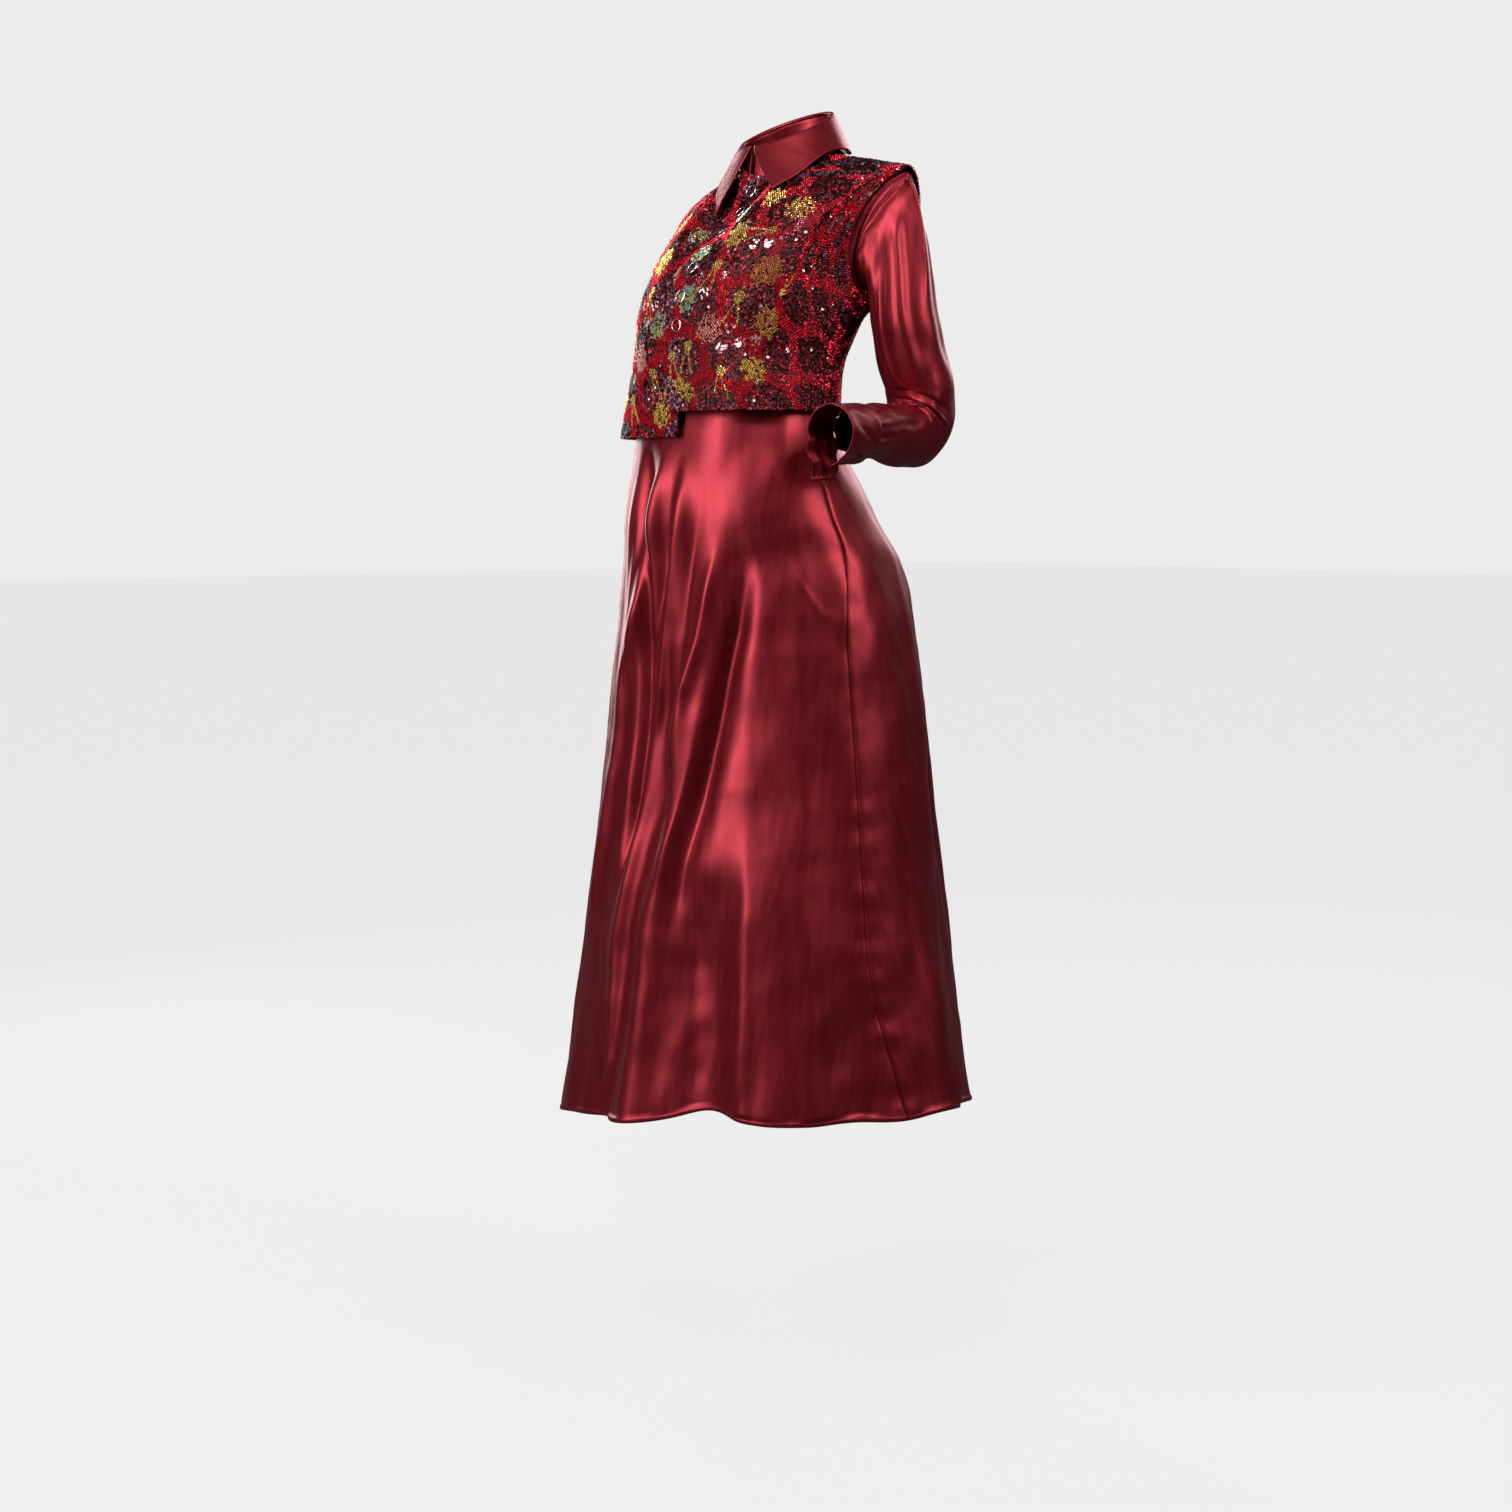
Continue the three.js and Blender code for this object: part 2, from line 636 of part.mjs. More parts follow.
// Height is found from the way down at the seam, to place the seam and the pocket mouth
const seamTurn = down => seamAngleAt(mix(waistHeight, 380, down))
const pocketTop = 0.215
const pocketFoot = 0.345
const pocketGape = 5

function skirt() {
  const gap = allRound(seamGap / 2)
  const mouth = down => Math.sin(Math.PI * clamp01((down - pocketTop) / (pocketFoot - pocketTop)))
  const front = (s, down) => {
    const left = seamTurn(down)
    const degrees = mix(-left, left, s)
    const near = smooth((s - 0.93) / 0.07)
    return skirtPoint(degrees, down, pocketGape * mouth(down) * near)
  }
  const back = (s, down) => {
    const left = seamTurn(down)
    return skirtPoint(mix(left, 360 - left, s), down)
  }
  add('skirt_front', wall(trimmed(front, gap), 42, 12, satinThickness, -1), satin)
  add('skirt_back', wall(trimmed(back, gap), 42, 12, satinThickness, -1), satin)
}

// Pocket: one bag behind the mouth in the left side seam

const pocketWidth = 30
const pocketDepth = 0.09
const pocketInset = 7
const pocketSeat = 2

function pocket() {
  const bag = (s, t) => {
    const down = mix(pocketTop - 0.015, pocketFoot + pocketDepth, t)
    const start = seamTurn(down) + 1
    const round = Math.sqrt(clamp01(1 - Math.max(0, (t - 0.6) / 0.4) ** 2))
    const width = pocketWidth * mix(0.35, 1, round)
    const inset = mix(pocketSeat, pocketInset, smooth((1 - s) * 4))
    return skirtPoint(start - width * (1 - s), down, -inset)
  }
  add('pocket_bag', wall(bag, 10, 8, 1, -1), satin)
}

// Sleeves and cuffs

function armLine(rows) {
  const line = new THREE.CatmullRomCurve3(
    rows.map(row => place([row.x, row.y, row.height])), false, 'centripetal')
  const stations = rows.map((row, i) => ({ ...row, height: i }))
  const across = column(stations, 'across')
  const crook = column(stations, 'crook')
  const elbow = column(stations, 'elbow')
  const last = rows.length - 1
  return (share, degrees, swell = 0) => {
    const middle = line.getPoint(share)
    const tangent = line.getTangent(share)
    const side = new THREE.Vector3(1, 0, 0)
    side.addScaledVector(tangent, -side.dot(tangent)).normalize()
    const crookWay = tangent.clone().cross(side)
    const turn = toAngle(degrees)
    const sideways = Math.cos(turn)
    const bent = Math.sin(turn)
    const deep = bent > 0 ? crook(share * last) : elbow(share * last)
    return middle
      .addScaledVector(side, sideways * (across(share * last) + swell))
      .addScaledVector(crookWay, bent * (deep + swell))
  }
}

const capShare = 0.3

function capPoint(arm, degrees, t) {
  const isBack = degrees > 180
  const way = isBack ? (360 - degrees) / 180 : degrees / 180
  const start = bodicePoint(1, 2 / 3 + Math.min(way, 1) / 3, 1, isBack)
  const underarm = smooth((way - 0.45) / 0.55)
  start.x += mix(0.6, 1.8, smooth(way * 4))
  start.z += 2.2 * underarm
  const reach = mix(34, 17, underarm)
  const away = start.clone().add(new THREE.Vector3(reach, 0, mix(-3, 6, underarm)))
  const end = arm(0, degrees)
  const r = 1 - t
  return start.multiplyScalar(r * r).addScaledVector(away, 2 * r * t).addScaledVector(end, t * t)
}

function sleevePoint(arm, s, t) {
  const slit = smooth((t - 0.86) / 0.14) * 4
  const seam = mix(sleeveSeamTop, sleeveSeamCuff, smooth((t - 0.3) / 0.7))
  const degrees = mix(seam - 360 + slit, seam - slit, s)
  const round = (degrees + 360) % 360
  if (t < capShare) return capPoint(arm, round, t / capShare)
  const share = cuffStart * (t - capShare) / (1 - capShare)
  const gather = 1.2 * smooth((t - 0.9) / 0.1) * Math.sin(toAngle(degrees * 7))
  return arm(share, round, gather)
}

function sleeve(name, arm, mirrored) {
  const surface = (s, t) => {
    const point = sleevePoint(arm, s, t)
    return mirrored ? flip(point) : point
  }
  add(name, wall(trimmed(surface, allRound(seamGap / 2)), 16, 21, satinThickness, mirrored ? 1 : -1), satin)
}

// The unbuttoned cuff: most of it wraps the wrist, its near end turns out and its far end hangs
function openCuff(arm) {
  const band = (s, t) => {
    const share = mix(cuffStart + cuffGapShare, 1, t)
    const degrees = mix(-92, 236, s)
    const nearEnd = smooth((0.1 - s) / 0.1)
    const farEnd = clamp01((s - 0.86) / 0.14)
    const held = Math.min(degrees, 214)
    const point = arm(share, (held + 360) % 360, 1.4 + 5 * nearEnd)
    const tail = 34 * farEnd
    point.z -= tail * mix(0.55, 1, farEnd)
    point.x += 5 * farEnd * Math.sin(Math.PI * t) + 3 * farEnd
    point.y -= 8 * farEnd * t
    return point
  }
  return band
}

function cuffs(leftLine, rightLine) {
  add('cuff_left', wall(openCuff(leftLine), 22, 4, cuffThickness, -1), satin)
  const closed = (s, t) => {
    const degrees = mix(sleeveSeamCuff - 359.2, sleeveSeamCuff, s)
    return flip(rightLine(mix(cuffStart + cuffGapShare, 1, t), (degrees + 360) % 360, 1.4))
  }
  add('cuff_right', wall(closed, 18, 3, cuffThickness, 1), satin)
}

// Collar

function standPoint(degrees, rise) {
  const isBack = degrees > 90 && degrees < 270
  const side = degrees < 180 ? 1 : -1
  const fromFront = side > 0 ? degrees : 360 - degrees
  const foot = bodicePoint(side, (isBack ? 180 - fromFront : fromFront) / 270, 1, isBack)
  const lean = 5 * rise
  const turn = toAngle(degrees)
  return new THREE.Vector3(
    foot.x - lean * Math.sin(turn),
    foot.y + lean * Math.cos(turn) * 0.8,
    foot.z + standLift + standHeight * rise)
}

// The leaf's lower edge, from the wearer's left tip round the back to the right tip
const leafEdge = [
  { x: 64, y: -82, height: 1403 },
  { x: 75, y: -50, height: 1423 },
  { x: 79, y: -13, height: 1448 },
  { x: 74, y: 18, height: 1455 },
  { x: 50, y: 48, height: 1454 },
  { x: 0, y: 65, height: 1463 },
  { x: -50, y: 48, height: 1454 },
  { x: -74, y: 18, height: 1455 },
  { x: -76, y: -14, height: 1449 },
  { x: -54, y: -62, height: 1421 },
  { x: -23, y: -94, height: 1381 },
]

function collar() {
  const stand = (s, t) => standPoint(mix(collarOpening, 360 - collarOpening, s), t)
  add('collar_stand', wall(stand, 26, 2, collarThickness, 1), satin)
  const edge = new THREE.CatmullRomCurve3(
    leafEdge.map(({ x, y, height }) => place([x, y, height])), false, 'centripetal')
  const leaf = (s, t) => {
    const degrees = mix(collarOpening, 360 - collarOpening, s)
    const turn = toAngle(degrees)
    const out = new THREE.Vector3(Math.sin(turn), -Math.cos(turn), 0)
    const top = standPoint(degrees, 1)
    top.z += seamGap * 2
    const crest = top.clone().addScaledVector(out, 2.6)
    crest.z += leafRise
    const end = edge.getPoint(s)
    if (t < 0.18) {
      const r = t / 0.18
      return top.lerp(crest, r).add(new THREE.Vector3(0, 0, 0.8 * Math.sin(Math.PI * r)))
    }
    const r = (t - 0.18) / 0.82
    const control = crest.clone().addScaledVector(out, 5)
    control.z -= 8
    const q = 1 - r
    return crest.multiplyScalar(q * q).addScaledVector(control, 2 * q * r).addScaledVector(end, r * r)
  }
  add('collar_leaf', wall(leaf, 32, leafRows, collarThickness, -1), satin)
}

const leftLine = armLine(leftArm)
const rightLine = armLine(rightArm)

bodice()
collar()
sleeve('sleeve_left', leftLine, false)
sleeve('sleeve_right', rightLine, true)
cuffs(leftLine, rightLine)
skirt()
pocket()
vest()
snaps()

export default garment
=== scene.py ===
import math
import bpy
import numpy as np
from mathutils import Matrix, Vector


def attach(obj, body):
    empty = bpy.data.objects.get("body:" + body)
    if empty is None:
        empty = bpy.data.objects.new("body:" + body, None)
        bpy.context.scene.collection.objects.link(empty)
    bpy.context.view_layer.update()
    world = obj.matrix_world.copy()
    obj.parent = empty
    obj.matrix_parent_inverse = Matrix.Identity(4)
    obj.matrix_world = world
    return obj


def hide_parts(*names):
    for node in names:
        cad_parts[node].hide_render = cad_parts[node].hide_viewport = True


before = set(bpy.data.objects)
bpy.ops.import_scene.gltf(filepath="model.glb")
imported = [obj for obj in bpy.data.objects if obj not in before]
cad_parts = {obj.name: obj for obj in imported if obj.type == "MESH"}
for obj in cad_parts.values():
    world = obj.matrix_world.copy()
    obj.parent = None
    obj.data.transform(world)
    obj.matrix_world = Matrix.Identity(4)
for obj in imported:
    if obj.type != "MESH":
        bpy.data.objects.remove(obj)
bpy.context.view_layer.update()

# A satin shirt dress under a sequinned vest, as shells on the forms of the frame's pieces.
# Sizes below are millimetres, and heights are above the floor, until a mesh is made in metres.

MM = 0.001
FLOOR_HEIGHT = 1420.0


def table(names, rows):
    return [dict(zip(names, row)) for row in rows]


DRESS_SECTIONS = table(("height", "half_width", "middle", "front", "back", "square"), [
    (1325, 143, -10, 121, 78, 2.3),
    (1285, 143, -20, 132, 66, 2.3),
    (1252, 139, -34, 122, 58, 2.4),
    (1206, 131, -47, 112, 46, 2.5),
    (1165, 128, -58, 102, 56, 2.5),
    (1120, 135, -64, 104, 88, 2.5),
    (1043, 160, -51, 126, 130, 2.3),
    (984, 178, -31, 148, 148, 2.1),
    (901, 197, -28, 153, 152, 2),
    (817, 208, -27, 158, 158, 2),
    (576, 240, -25, 186, 186, 2),
    (343, 278, -27, 212, 212, 2),
    (230, 297, -28, 225, 225, 2),
])
VEST_SECTIONS = table(("height", "half_width", "middle", "front", "back", "square"), [
    (1325, 150, -10, 139, 86, 2.2),
    (1285, 150, -20, 147, 74, 2.2),
    (1252, 148, -34, 137, 67, 2.2),
    (1206, 141, -48, 125, 57, 2.4),
    (1165, 141, -56, 119, 65, 2.8),
    (1118, 149, -60, 119, 98, 2.9),
])
LEANS = table(("height", "lean"), [(1340, 0), (1230, -10), (1000, -10), (230, -10)])
SIDE_SEAM = table(("height", "angle"), [
    (1165, 90), (1030, 83), (900, 74), (576, 74), (343, 85), (230, 87)])

# Folds of the skirt, in degrees from the centre front towards the wearer's left
SKIRT_FOLDS = table(("top", "foot", "top_angle", "foot_angle", "depth", "width"), [
    (1120, 240, -36, -38, 9, 8),
    (1130, 960, -14, -16, -7, 5),
    (1125, 800, 1, -24, 8, 6),
    (1070, 240, 6, -15, -13, 6),
    (1120, 760, 12, -2, 7, 6),
    (1040, 680, 27, 6, 7, 6),
    (1040, 620, 39, 14, -7, 6),
    (660, 240, 20, 23, -22, 12),
    (700, 240, 2, 0, 13, 9),
    (760, 240, 44, 46, 12, 12),
    (560, 240, 68, 68, -9, 9),
    (600, 240, 99, 101, 11, 8),
    (820, 240, 124, 122, -14, 11),
    (1080, 240, 148, 150, 10, 12),
    (1100, 240, 171, 175, -14, 9),
    (1080, 240, 194, 198, 11, 11),
    (900, 240, 226, 224, -16, 11),
    (1060, 240, 250, 252, 11, 11),
    (860, 240, 280, 278, -15, 10),
    (1040, 240, 301, 299, 10, 9),
])
# The finer folds that only a thin cloth has, of the same columns
FINE_FOLDS = table(("top", "foot", "top_angle", "foot_angle", "depth", "width"), [
    (1118, 700, -24, -28, 4, 3),
    (1100, 880, -6, -14, -5, 3),
    (1060, 470, 16, 3, 4.5, 3.2),
    (1010, 610, 33, 10, -3.5, 3),
    (900, 260, 52, 55, 3.5, 5),
    (640, 240, 34, 35, 4.5, 4),
    (600, 240, 8, 9, -4, 4),
    (1040, 800, 62, 50, 2.4, 5),
    (1110, 830, -46, -50, -4, 4),
    (700, 240, -60, -63, 6, 6),
    (980, 420, -74, -76, -4, 5),
    (1090, 500, 112, 114, 4, 5),
    (880, 560, 136, 136, -4, 5),
    (1100, 560, 159, 161, 5, 4),
    (1110, 380, 183, 185, 4.5, 4),
    (1040, 300, 208, 211, -5, 5),
    (1080, 640, 238, 238, 4, 5),
    (960, 240, 264, 265, 5, 5),
    (1070, 420, 290, 288, -4, 5),
])
HEM_LIFTS = table(("angle", "lift", "width"), [
    (24, 12, 11), (100, 10, 12), (140, 22, 36), (176, 9, 12), (280, 10, 11), (320, 14, 34)])

ARM_COLUMNS = ("x", "y", "height", "across", "crook", "elbow")
LEFT_ARM = table(ARM_COLUMNS, [
    (184, 14, 1262, 40, 44, 46),
    (181, 28, 1212, 41, 41, 43),
    (179, 37, 1176, 41, 33, 44),
    (179, 27, 1146, 39, 24, 54),
    (186, -2, 1132, 37, 28, 42),
    (199, -44, 1131, 34, 30, 32),
    (215, -88, 1129, 30, 29, 29),
    (233, -143, 1126, 28, 30, 29),
])
RIGHT_ARM = table(ARM_COLUMNS, [
    (192, 14, 1262, 40, 44, 46),
    (203, 28, 1212, 41, 42, 43),
    (211, 38, 1168, 40, 39, 43),
    (218, 36, 1120, 38, 36, 43),
    (227, 24, 1078, 36, 35, 37),
    (239, 8, 1036, 33, 33, 33),
    (247, -4, 1004, 29, 29, 29),
    (255, -21, 952, 28, 28, 28),
])

WAIST_HEIGHT = 1165.0
FRONT_HEM_HEIGHT = 309.0
HEM_TILT = 57.0
HEM_HIGH_ANGLE = 60.0
NECK_HALF_WIDTH = 58.0
NECK_MIDDLE = -5.0
NECK_HALF_DEPTH = 53.0
NECK_HEIGHT = 1444.0
NECK_SLOPE = 0.45
BEND_SHARE = 0.55
TIP_TURN = 52.0
RISE_SHARE = 0.7
VEST_EASE = 6.4
VEST_NECK_SHARE = 0.4
VEST_TIP_SHARE = 0.652
VEST_NECK_RISE = 1.03
VEST_UNDER_NECK_RISE = 0.985
VEST_UNDERARM_DROP = 0.06
VEST_LEFT_HEM = 1154.0
VEST_RIGHT_HEM = 1126.0
LAP_PART = 0.036
LAP_FADE = 0.16
UNDER_DEPTH = 4.8
UNDER_DEPTH_AT_NECK = 4.1
CUFF_START = 6 / 7
CAP_SHARE = 0.3
STAND_HEIGHT = 34.0
STAND_LIFT = 1.7
COLLAR_OPENING = 3.5
SATIN = 0.7
SATIN_LIFT = 0.25


# Small tools. Points are arrays whose last axis is x, y, z.

def mix(a, b, t):
    return a + (b - a) * t


def clamp01(t):
    return np.clip(t, 0.0, 1.0)


def smooth(t):
    c = clamp01(t)
    return c * c * (3 - 2 * c)


def point(x, y, z):
    x, y, z = np.broadcast_arrays(x, y, z)
    return np.stack([x, y, z], axis=-1).astype(float)


def normalized(v):
    length = np.linalg.norm(v, axis=-1, keepdims=True)
    return v / np.maximum(length, 1e-9)


def place(x, y, height):
    return np.array([x, y, height - FLOOR_HEIGHT], float)


def flip(p):
    return p * np.array([-1.0, 1.0, 1.0])


def bump(degrees, middle, width):
    off = (degrees - middle + 540) % 360 - 180
    return np.exp(-(off * off) / (width * width))


def column(rows, name):
    """A smooth curve through one named column, without overshoot."""
    rows = sorted(rows, key=lambda row: row["height"])
    heights = np.array([row["height"] for row in rows], float)
    values = np.array([row[name] for row in rows], float)
    rises = np.diff(values) / np.diff(heights)
    slopes = np.empty_like(values)
    slopes[0] = rises[0]
    slopes[-1] = rises[-1]
    for i in range(1, len(values) - 1):
        before, after = rises[i - 1], rises[i]
        slopes[i] = 0.0 if before * after <= 0 else 2 * before * after / (before + after)

    def at(height):
        h = np.asarray(height, float)
        i = np.clip(np.searchsorted(heights, h, side="right") - 1, 0, len(heights) - 2)
        span = heights[i + 1] - heights[i]
        t = (h - heights[i]) / span
        inside = (values[i] * (2 * t**3 - 3 * t**2 + 1) + slopes[i] * span * (t**3 - 2 * t**2 + t)
                  + values[i + 1] * (3 * t**2 - 2 * t**3) + slopes[i + 1] * span * (t**3 - t**2))
        below = values[0] + slopes[0] * (h - heights[0])
        above = values[-1] + slopes[-1] * (h - heights[-1])
        return np.where(t < 0, below, np.where(t > 1, above, inside))
    return at


def body_table(rows):
    return {name: column(rows, name) for name in ("half_width", "middle", "front", "back", "square")}


DRESS = body_table(DRESS_SECTIONS)
VEST = body_table(VEST_SECTIONS)
lean_at = column(LEANS, "lean")
seam_angle_at = column(SIDE_SEAM, "angle")


def section_point(body, degrees, height, push=0.0, lean_way=1):
    turn = np.radians(degrees)
    wide = np.sin(turn)
    deep = -np.cos(turn)
    in_front = deep < 0
    power = 2 / np.where(in_front, body["square"](height), 2.0)
    depth = np.where(in_front, body["front"](height), body["back"](height))
    width = body["half_width"](height)
    x = width * np.sign(wide) * np.abs(wide) ** power
    y = body["middle"](height) + depth * np.sign(deep) * np.abs(deep) ** power
    out_x = wide / width
    out_y = deep / depth
    size = np.sqrt(out_x**2 + out_y**2)
    lean = lean_way * lean_at(height)
    return point(x + lean + out_x / size * push, y + out_y / size * push, height - FLOOR_HEIGHT)


def curve4(p0, p1, p2, p3, t):
    t = np.asarray(t, float)[..., None]
    r = 1 - t
    return p0 * r**3 + p1 * 3 * r * r * t + p2 * 3 * r * t * t + p3 * t**3


# Torso surface, shared by the vest and the bodice inside it

TIP = place(178, 22, 1419)
FRONT_PULLS = [place(160, -30, 1395), place(140, -50, 1310), place(143, -12, 1288)]
BACK_PULLS = [place(168, 56, 1392), place(148, 52, 1312), place(143, -12, 1288)]
ARMHOLE_OUTWARD = table(("x", "front_y", "back_y", "z"), [
    (0.1, -0.12, 0.12, 1),
    (0.2, -0.6, 0.6, 0.75),
    (0.6, -0.8, 0.8, 0.15),
    (1, -0.15, 0.15, 0),
    (1, 0, 0, 0),
])
ARMHOLE_ARRIVAL = table(("x", "front_y", "back_y", "z"), [
    (0.45, 0.8, -0.8, 0.25),
    (0.65, 0.65, -0.6, 0.33),
    (0.64, 0.64, -0.4, 0.43),
    (0.35, 0.6, 0, 0.7),
    (0.1, 0, 0, 1),
])


def neck_point(degrees):
    turn = np.radians(degrees)
    y = NECK_MIDDLE - NECK_HALF_DEPTH * np.cos(turn)
    height = NECK_HEIGHT + NECK_SLOPE * (y - NECK_MIDDLE)
    return point(NECK_HALF_WIDTH * np.sin(turn), y, height - FLOOR_HEIGHT)


def top_edge(part, back):
    part = np.asarray(part, float)
    neck = neck_point(180 - part * 270 if back else part * 270)
    side_neck = neck_point(90.0)
    shoulder = side_neck + (TIP - side_neck) * ((part - 1 / 3) * 3)[..., None]
    pulls = BACK_PULLS if back else FRONT_PULLS
    armhole = curve4(TIP, pulls[0], pulls[1], pulls[2], (part - 2 / 3) * 3)
    on_neck = (part < 1 / 3)[..., None]
    on_shoulder = (part < 2 / 3)[..., None]
    return np.where(on_neck, neck, np.where(on_shoulder, shoulder, armhole))


def along_armhole(rows, part, back):
    values = np.array([(r["x"], r["back_y"] if back else r["front_y"], r["z"]) for r in rows], float)
    spot = np.clip((np.asarray(part, float) - 2 / 3) * 3 * (len(rows) - 1), 0, len(rows) - 1.001)
    row = np.floor(spot).astype(int)
    share = (spot - row)[..., None]
    return normalized(values[row] + (values[row + 1] - values[row]) * share)


def top_outward(part, back):
    part = np.asarray(part, float)
    away = 1 if back else -1
    neck = np.array([0.15, away * 1.3, 0.4])
    shoulder = np.array([0.1, away * 0.12, 1.0])
    plain = neck + (shoulder - neck) * smooth(part * 3.2)[..., None]
    return np.where((part < 2 / 3)[..., None], plain, along_armhole(ARMHOLE_OUTWARD, part, back))


def top_pull(part, back):
    part = np.asarray(part, float)
    lying = np.array([0, -0.9 if back else 0.9, 0.5])
    upright = np.array([0, 0.0 if back else 0.1, 1.0])
    plain = normalized(upright + (lying - upright) * smooth(part * 3.4)[..., None])
    tip_way = along_armhole(ARMHOLE_ARRIVAL, np.array(2 / 3), back)
    plain = plain + (tip_way - plain) * smooth(part * 3 - 1)[..., None]
    return normalized(np.where((part > 2 / 3)[..., None], along_armhole(ARMHOLE_ARRIVAL, part, back), plain))


def base_turn(part):
    part = np.asarray(part, float)
    way = clamp01((part - 2 / 3) * 3)
    return np.where(part < 2 / 3, TIP_TURN * part * 1.5, TIP_TURN + (90 - TIP_TURN) * way**1.8)


def half_point(side, part, rise, back, bottom):
    turn = base_turn(part)
    degrees = 180 - turn if back else turn
    top = top_edge(part, back)
    top_height = top[..., 2] + FLOOR_HEIGHT
    bend_height = mix(WAIST_HEIGHT, top_height, BEND_SHARE)
    share = (bend_height - bottom) / (top_height - bottom)
    low = section_point(VEST, degrees, mix(bottom, bend_height, rise / share), 0, side)
    top = top + top_outward(part, back) * VEST_EASE
    start = section_point(VEST, degrees, bend_height, 0, side)
    below = section_point(VEST, degrees, bend_height - 4, 0, side)
    reach = np.linalg.norm(start - top, axis=-1, keepdims=True) * 0.4
    up = normalized(start - below) * reach * RISE_SHARE
    pull = top_pull(part, back) * reach
    bend = (rise - share) / (1 - share)
    high = curve4(start, start + up, top - pull, top, clamp01(bend))
    over = top + pull * 3 * np.maximum(bend - 1, 0)[..., None]
    result = np.where((rise <= share)[..., None], low, np.where((bend > 1)[..., None], over, high))
    return result if side > 0 else flip(result)


def round_point(side, part, rise, back, bottom):
    part, rise, bottom = np.broadcast_arrays(
        np.asarray(part, float), np.asarray(rise, float), np.asarray(bottom, float))
    result = half_point(side, clamp01(part), rise, back, bottom)
    before = part < 0
    beyond = part > 1
    if before.any():
        result[before] = half_point(-side, -part[before], rise[before], back, bottom[before])
    if beyond.any():
        result[beyond] = half_point(side, 2 - part[beyond], rise[beyond], not back, bottom[beyond])
    return result


def round_outward(side, part, rise, back, bottom):
    step = 0.012
    along_part = round_point(side, part + step, rise, back, bottom) - round_point(
        side, part - step, rise, back, bottom)
    along_rise = round_point(side, part, rise + step, back, bottom) - round_point(
        side, part, np.maximum(0, rise - step), back, bottom)
    return normalized(np.cross(along_part, along_rise)) * (-side if back else side)


def bodice_point(side, part, rise, back):
    part, rise = np.broadcast_arrays(np.asarray(part, float), np.asarray(rise, float))
    turn = base_turn(part)
    degrees = 180 - turn if back else turn
    top_height = top_edge(part, back)[..., 2] + FLOOR_HEIGHT
    bend_height = mix(WAIST_HEIGHT, top_height, BEND_SHARE)
    share = (bend_height - WAIST_HEIGHT) / (top_height - WAIST_HEIGHT)
    low = section_point(DRESS, degrees, mix(WAIST_HEIGHT, bend_height, clamp01(rise / share)), 0, side)
    low = low if side > 0 else flip(low)
    apart = np.linalg.norm(
        section_point(VEST, degrees, bend_height) - section_point(DRESS, degrees, bend_height), axis=-1)
    bend = clamp01((rise - share) / (1 - share))
    inset = mix(apart, VEST_EASE, smooth(bend))
    edge_out = top_outward(part, back) * np.array([side, 1.0, 1.0])
    out = round_outward(side, part, rise, back, WAIST_HEIGHT)
    out = out + (edge_out - out) * (bend**2)[..., None]
    high = round_point(side, part, rise, back, WAIST_HEIGHT) - out * inset[..., None]
    return np.where((rise <= share)[..., None], low, high)


NECK_SHARE = 4 / 15
TIP_SHARE = 7 / 15
VEST_NECK_AT = 7 / 18
VEST_TIP_AT = 10 / 18


def spread(s, neck_at, tip_at, neck, tip):
    return np.interp(s, [0, neck_at, tip_at, 1], [0, neck, tip, 1])


def bodice_part(s):
    return spread(s, NECK_SHARE, TIP_SHARE, 1 / 3, 2 / 3)


def vest_part(s):
    return spread(s, VEST_NECK_AT, VEST_TIP_AT, VEST_NECK_SHARE, VEST_TIP_SHARE)


def vest_top_rise(side, s, back):
    way = clamp01(s / VEST_NECK_AT)
    centre = 1.01 if back else VEST_NECK_RISE if side > 0 else VEST_UNDER_NECK_RISE
    neck = mix(centre, 1, smooth(way)) - (0.035 if back else 0.05) * np.sin(np.pi * way)
    armhole = 1 - VEST_UNDERARM_DROP * smooth((s - VEST_TIP_AT) / (1 - VEST_TIP_AT))
    return np.where(s < VEST_NECK_AT, neck, np.where(s < VEST_TIP_AT, 1.0, armhole))


def vest_front_point(side, s, t):
    bottom = VEST_LEFT_HEM if side > 0 else VEST_RIGHT_HEM
    part = vest_part(s)
    lap = LAP_PART * (1 - 1.5 * smooth((0.26 - t) / 0.26)) if side > 0 else LAP_PART
    part_here = part - lap * (1 - smooth(part / LAP_FADE))
    return round_point(side, part_here, t * vest_top_rise(side, s, False), False, bottom)


def vest_back_point(side, s, t):
    part = vest_part(s)
    degrees = 180 - side * base_turn(part)
    bottom = mix(VEST_LEFT_HEM, VEST_RIGHT_HEM, smooth((degrees - 90) / 180))
    return round_point(side, part, t * vest_top_rise(side, s, True), True, bottom)


# Making meshes

def grid_shares(across, rows):
    """Matching arrays of s and t, from counts or from lists of shares."""
    s = np.linspace(0, 1, across + 1) if np.isscalar(across) else np.asarray(across, float)
    t = np.linspace(0, 1, rows + 1) if np.isscalar(rows) else np.asarray(rows, float)
    return np.meshgrid(s, t, indexing="ij")


def grid_normals(grid, side):
    """The way out of a grid's surface, by its neighbours."""
    along_s = np.gradient(grid, axis=0)
    along_t = np.gradient(grid, axis=1)
    return normalized(np.cross(along_s, along_t)) * side


def lengths(grid):
    """Distances along a grid from its first row and its first column, in millimetres."""
    along_s = np.linalg.norm(np.diff(grid, axis=0), axis=-1)
    along_t = np.linalg.norm(np.diff(grid, axis=1), axis=-1)
    u = np.concatenate([np.zeros((1, grid.shape[1])), np.cumsum(along_s, axis=0)])
    v = np.concatenate([np.zeros((grid.shape[0], 1)), np.cumsum(along_t, axis=1)], axis=1)
    return u, v


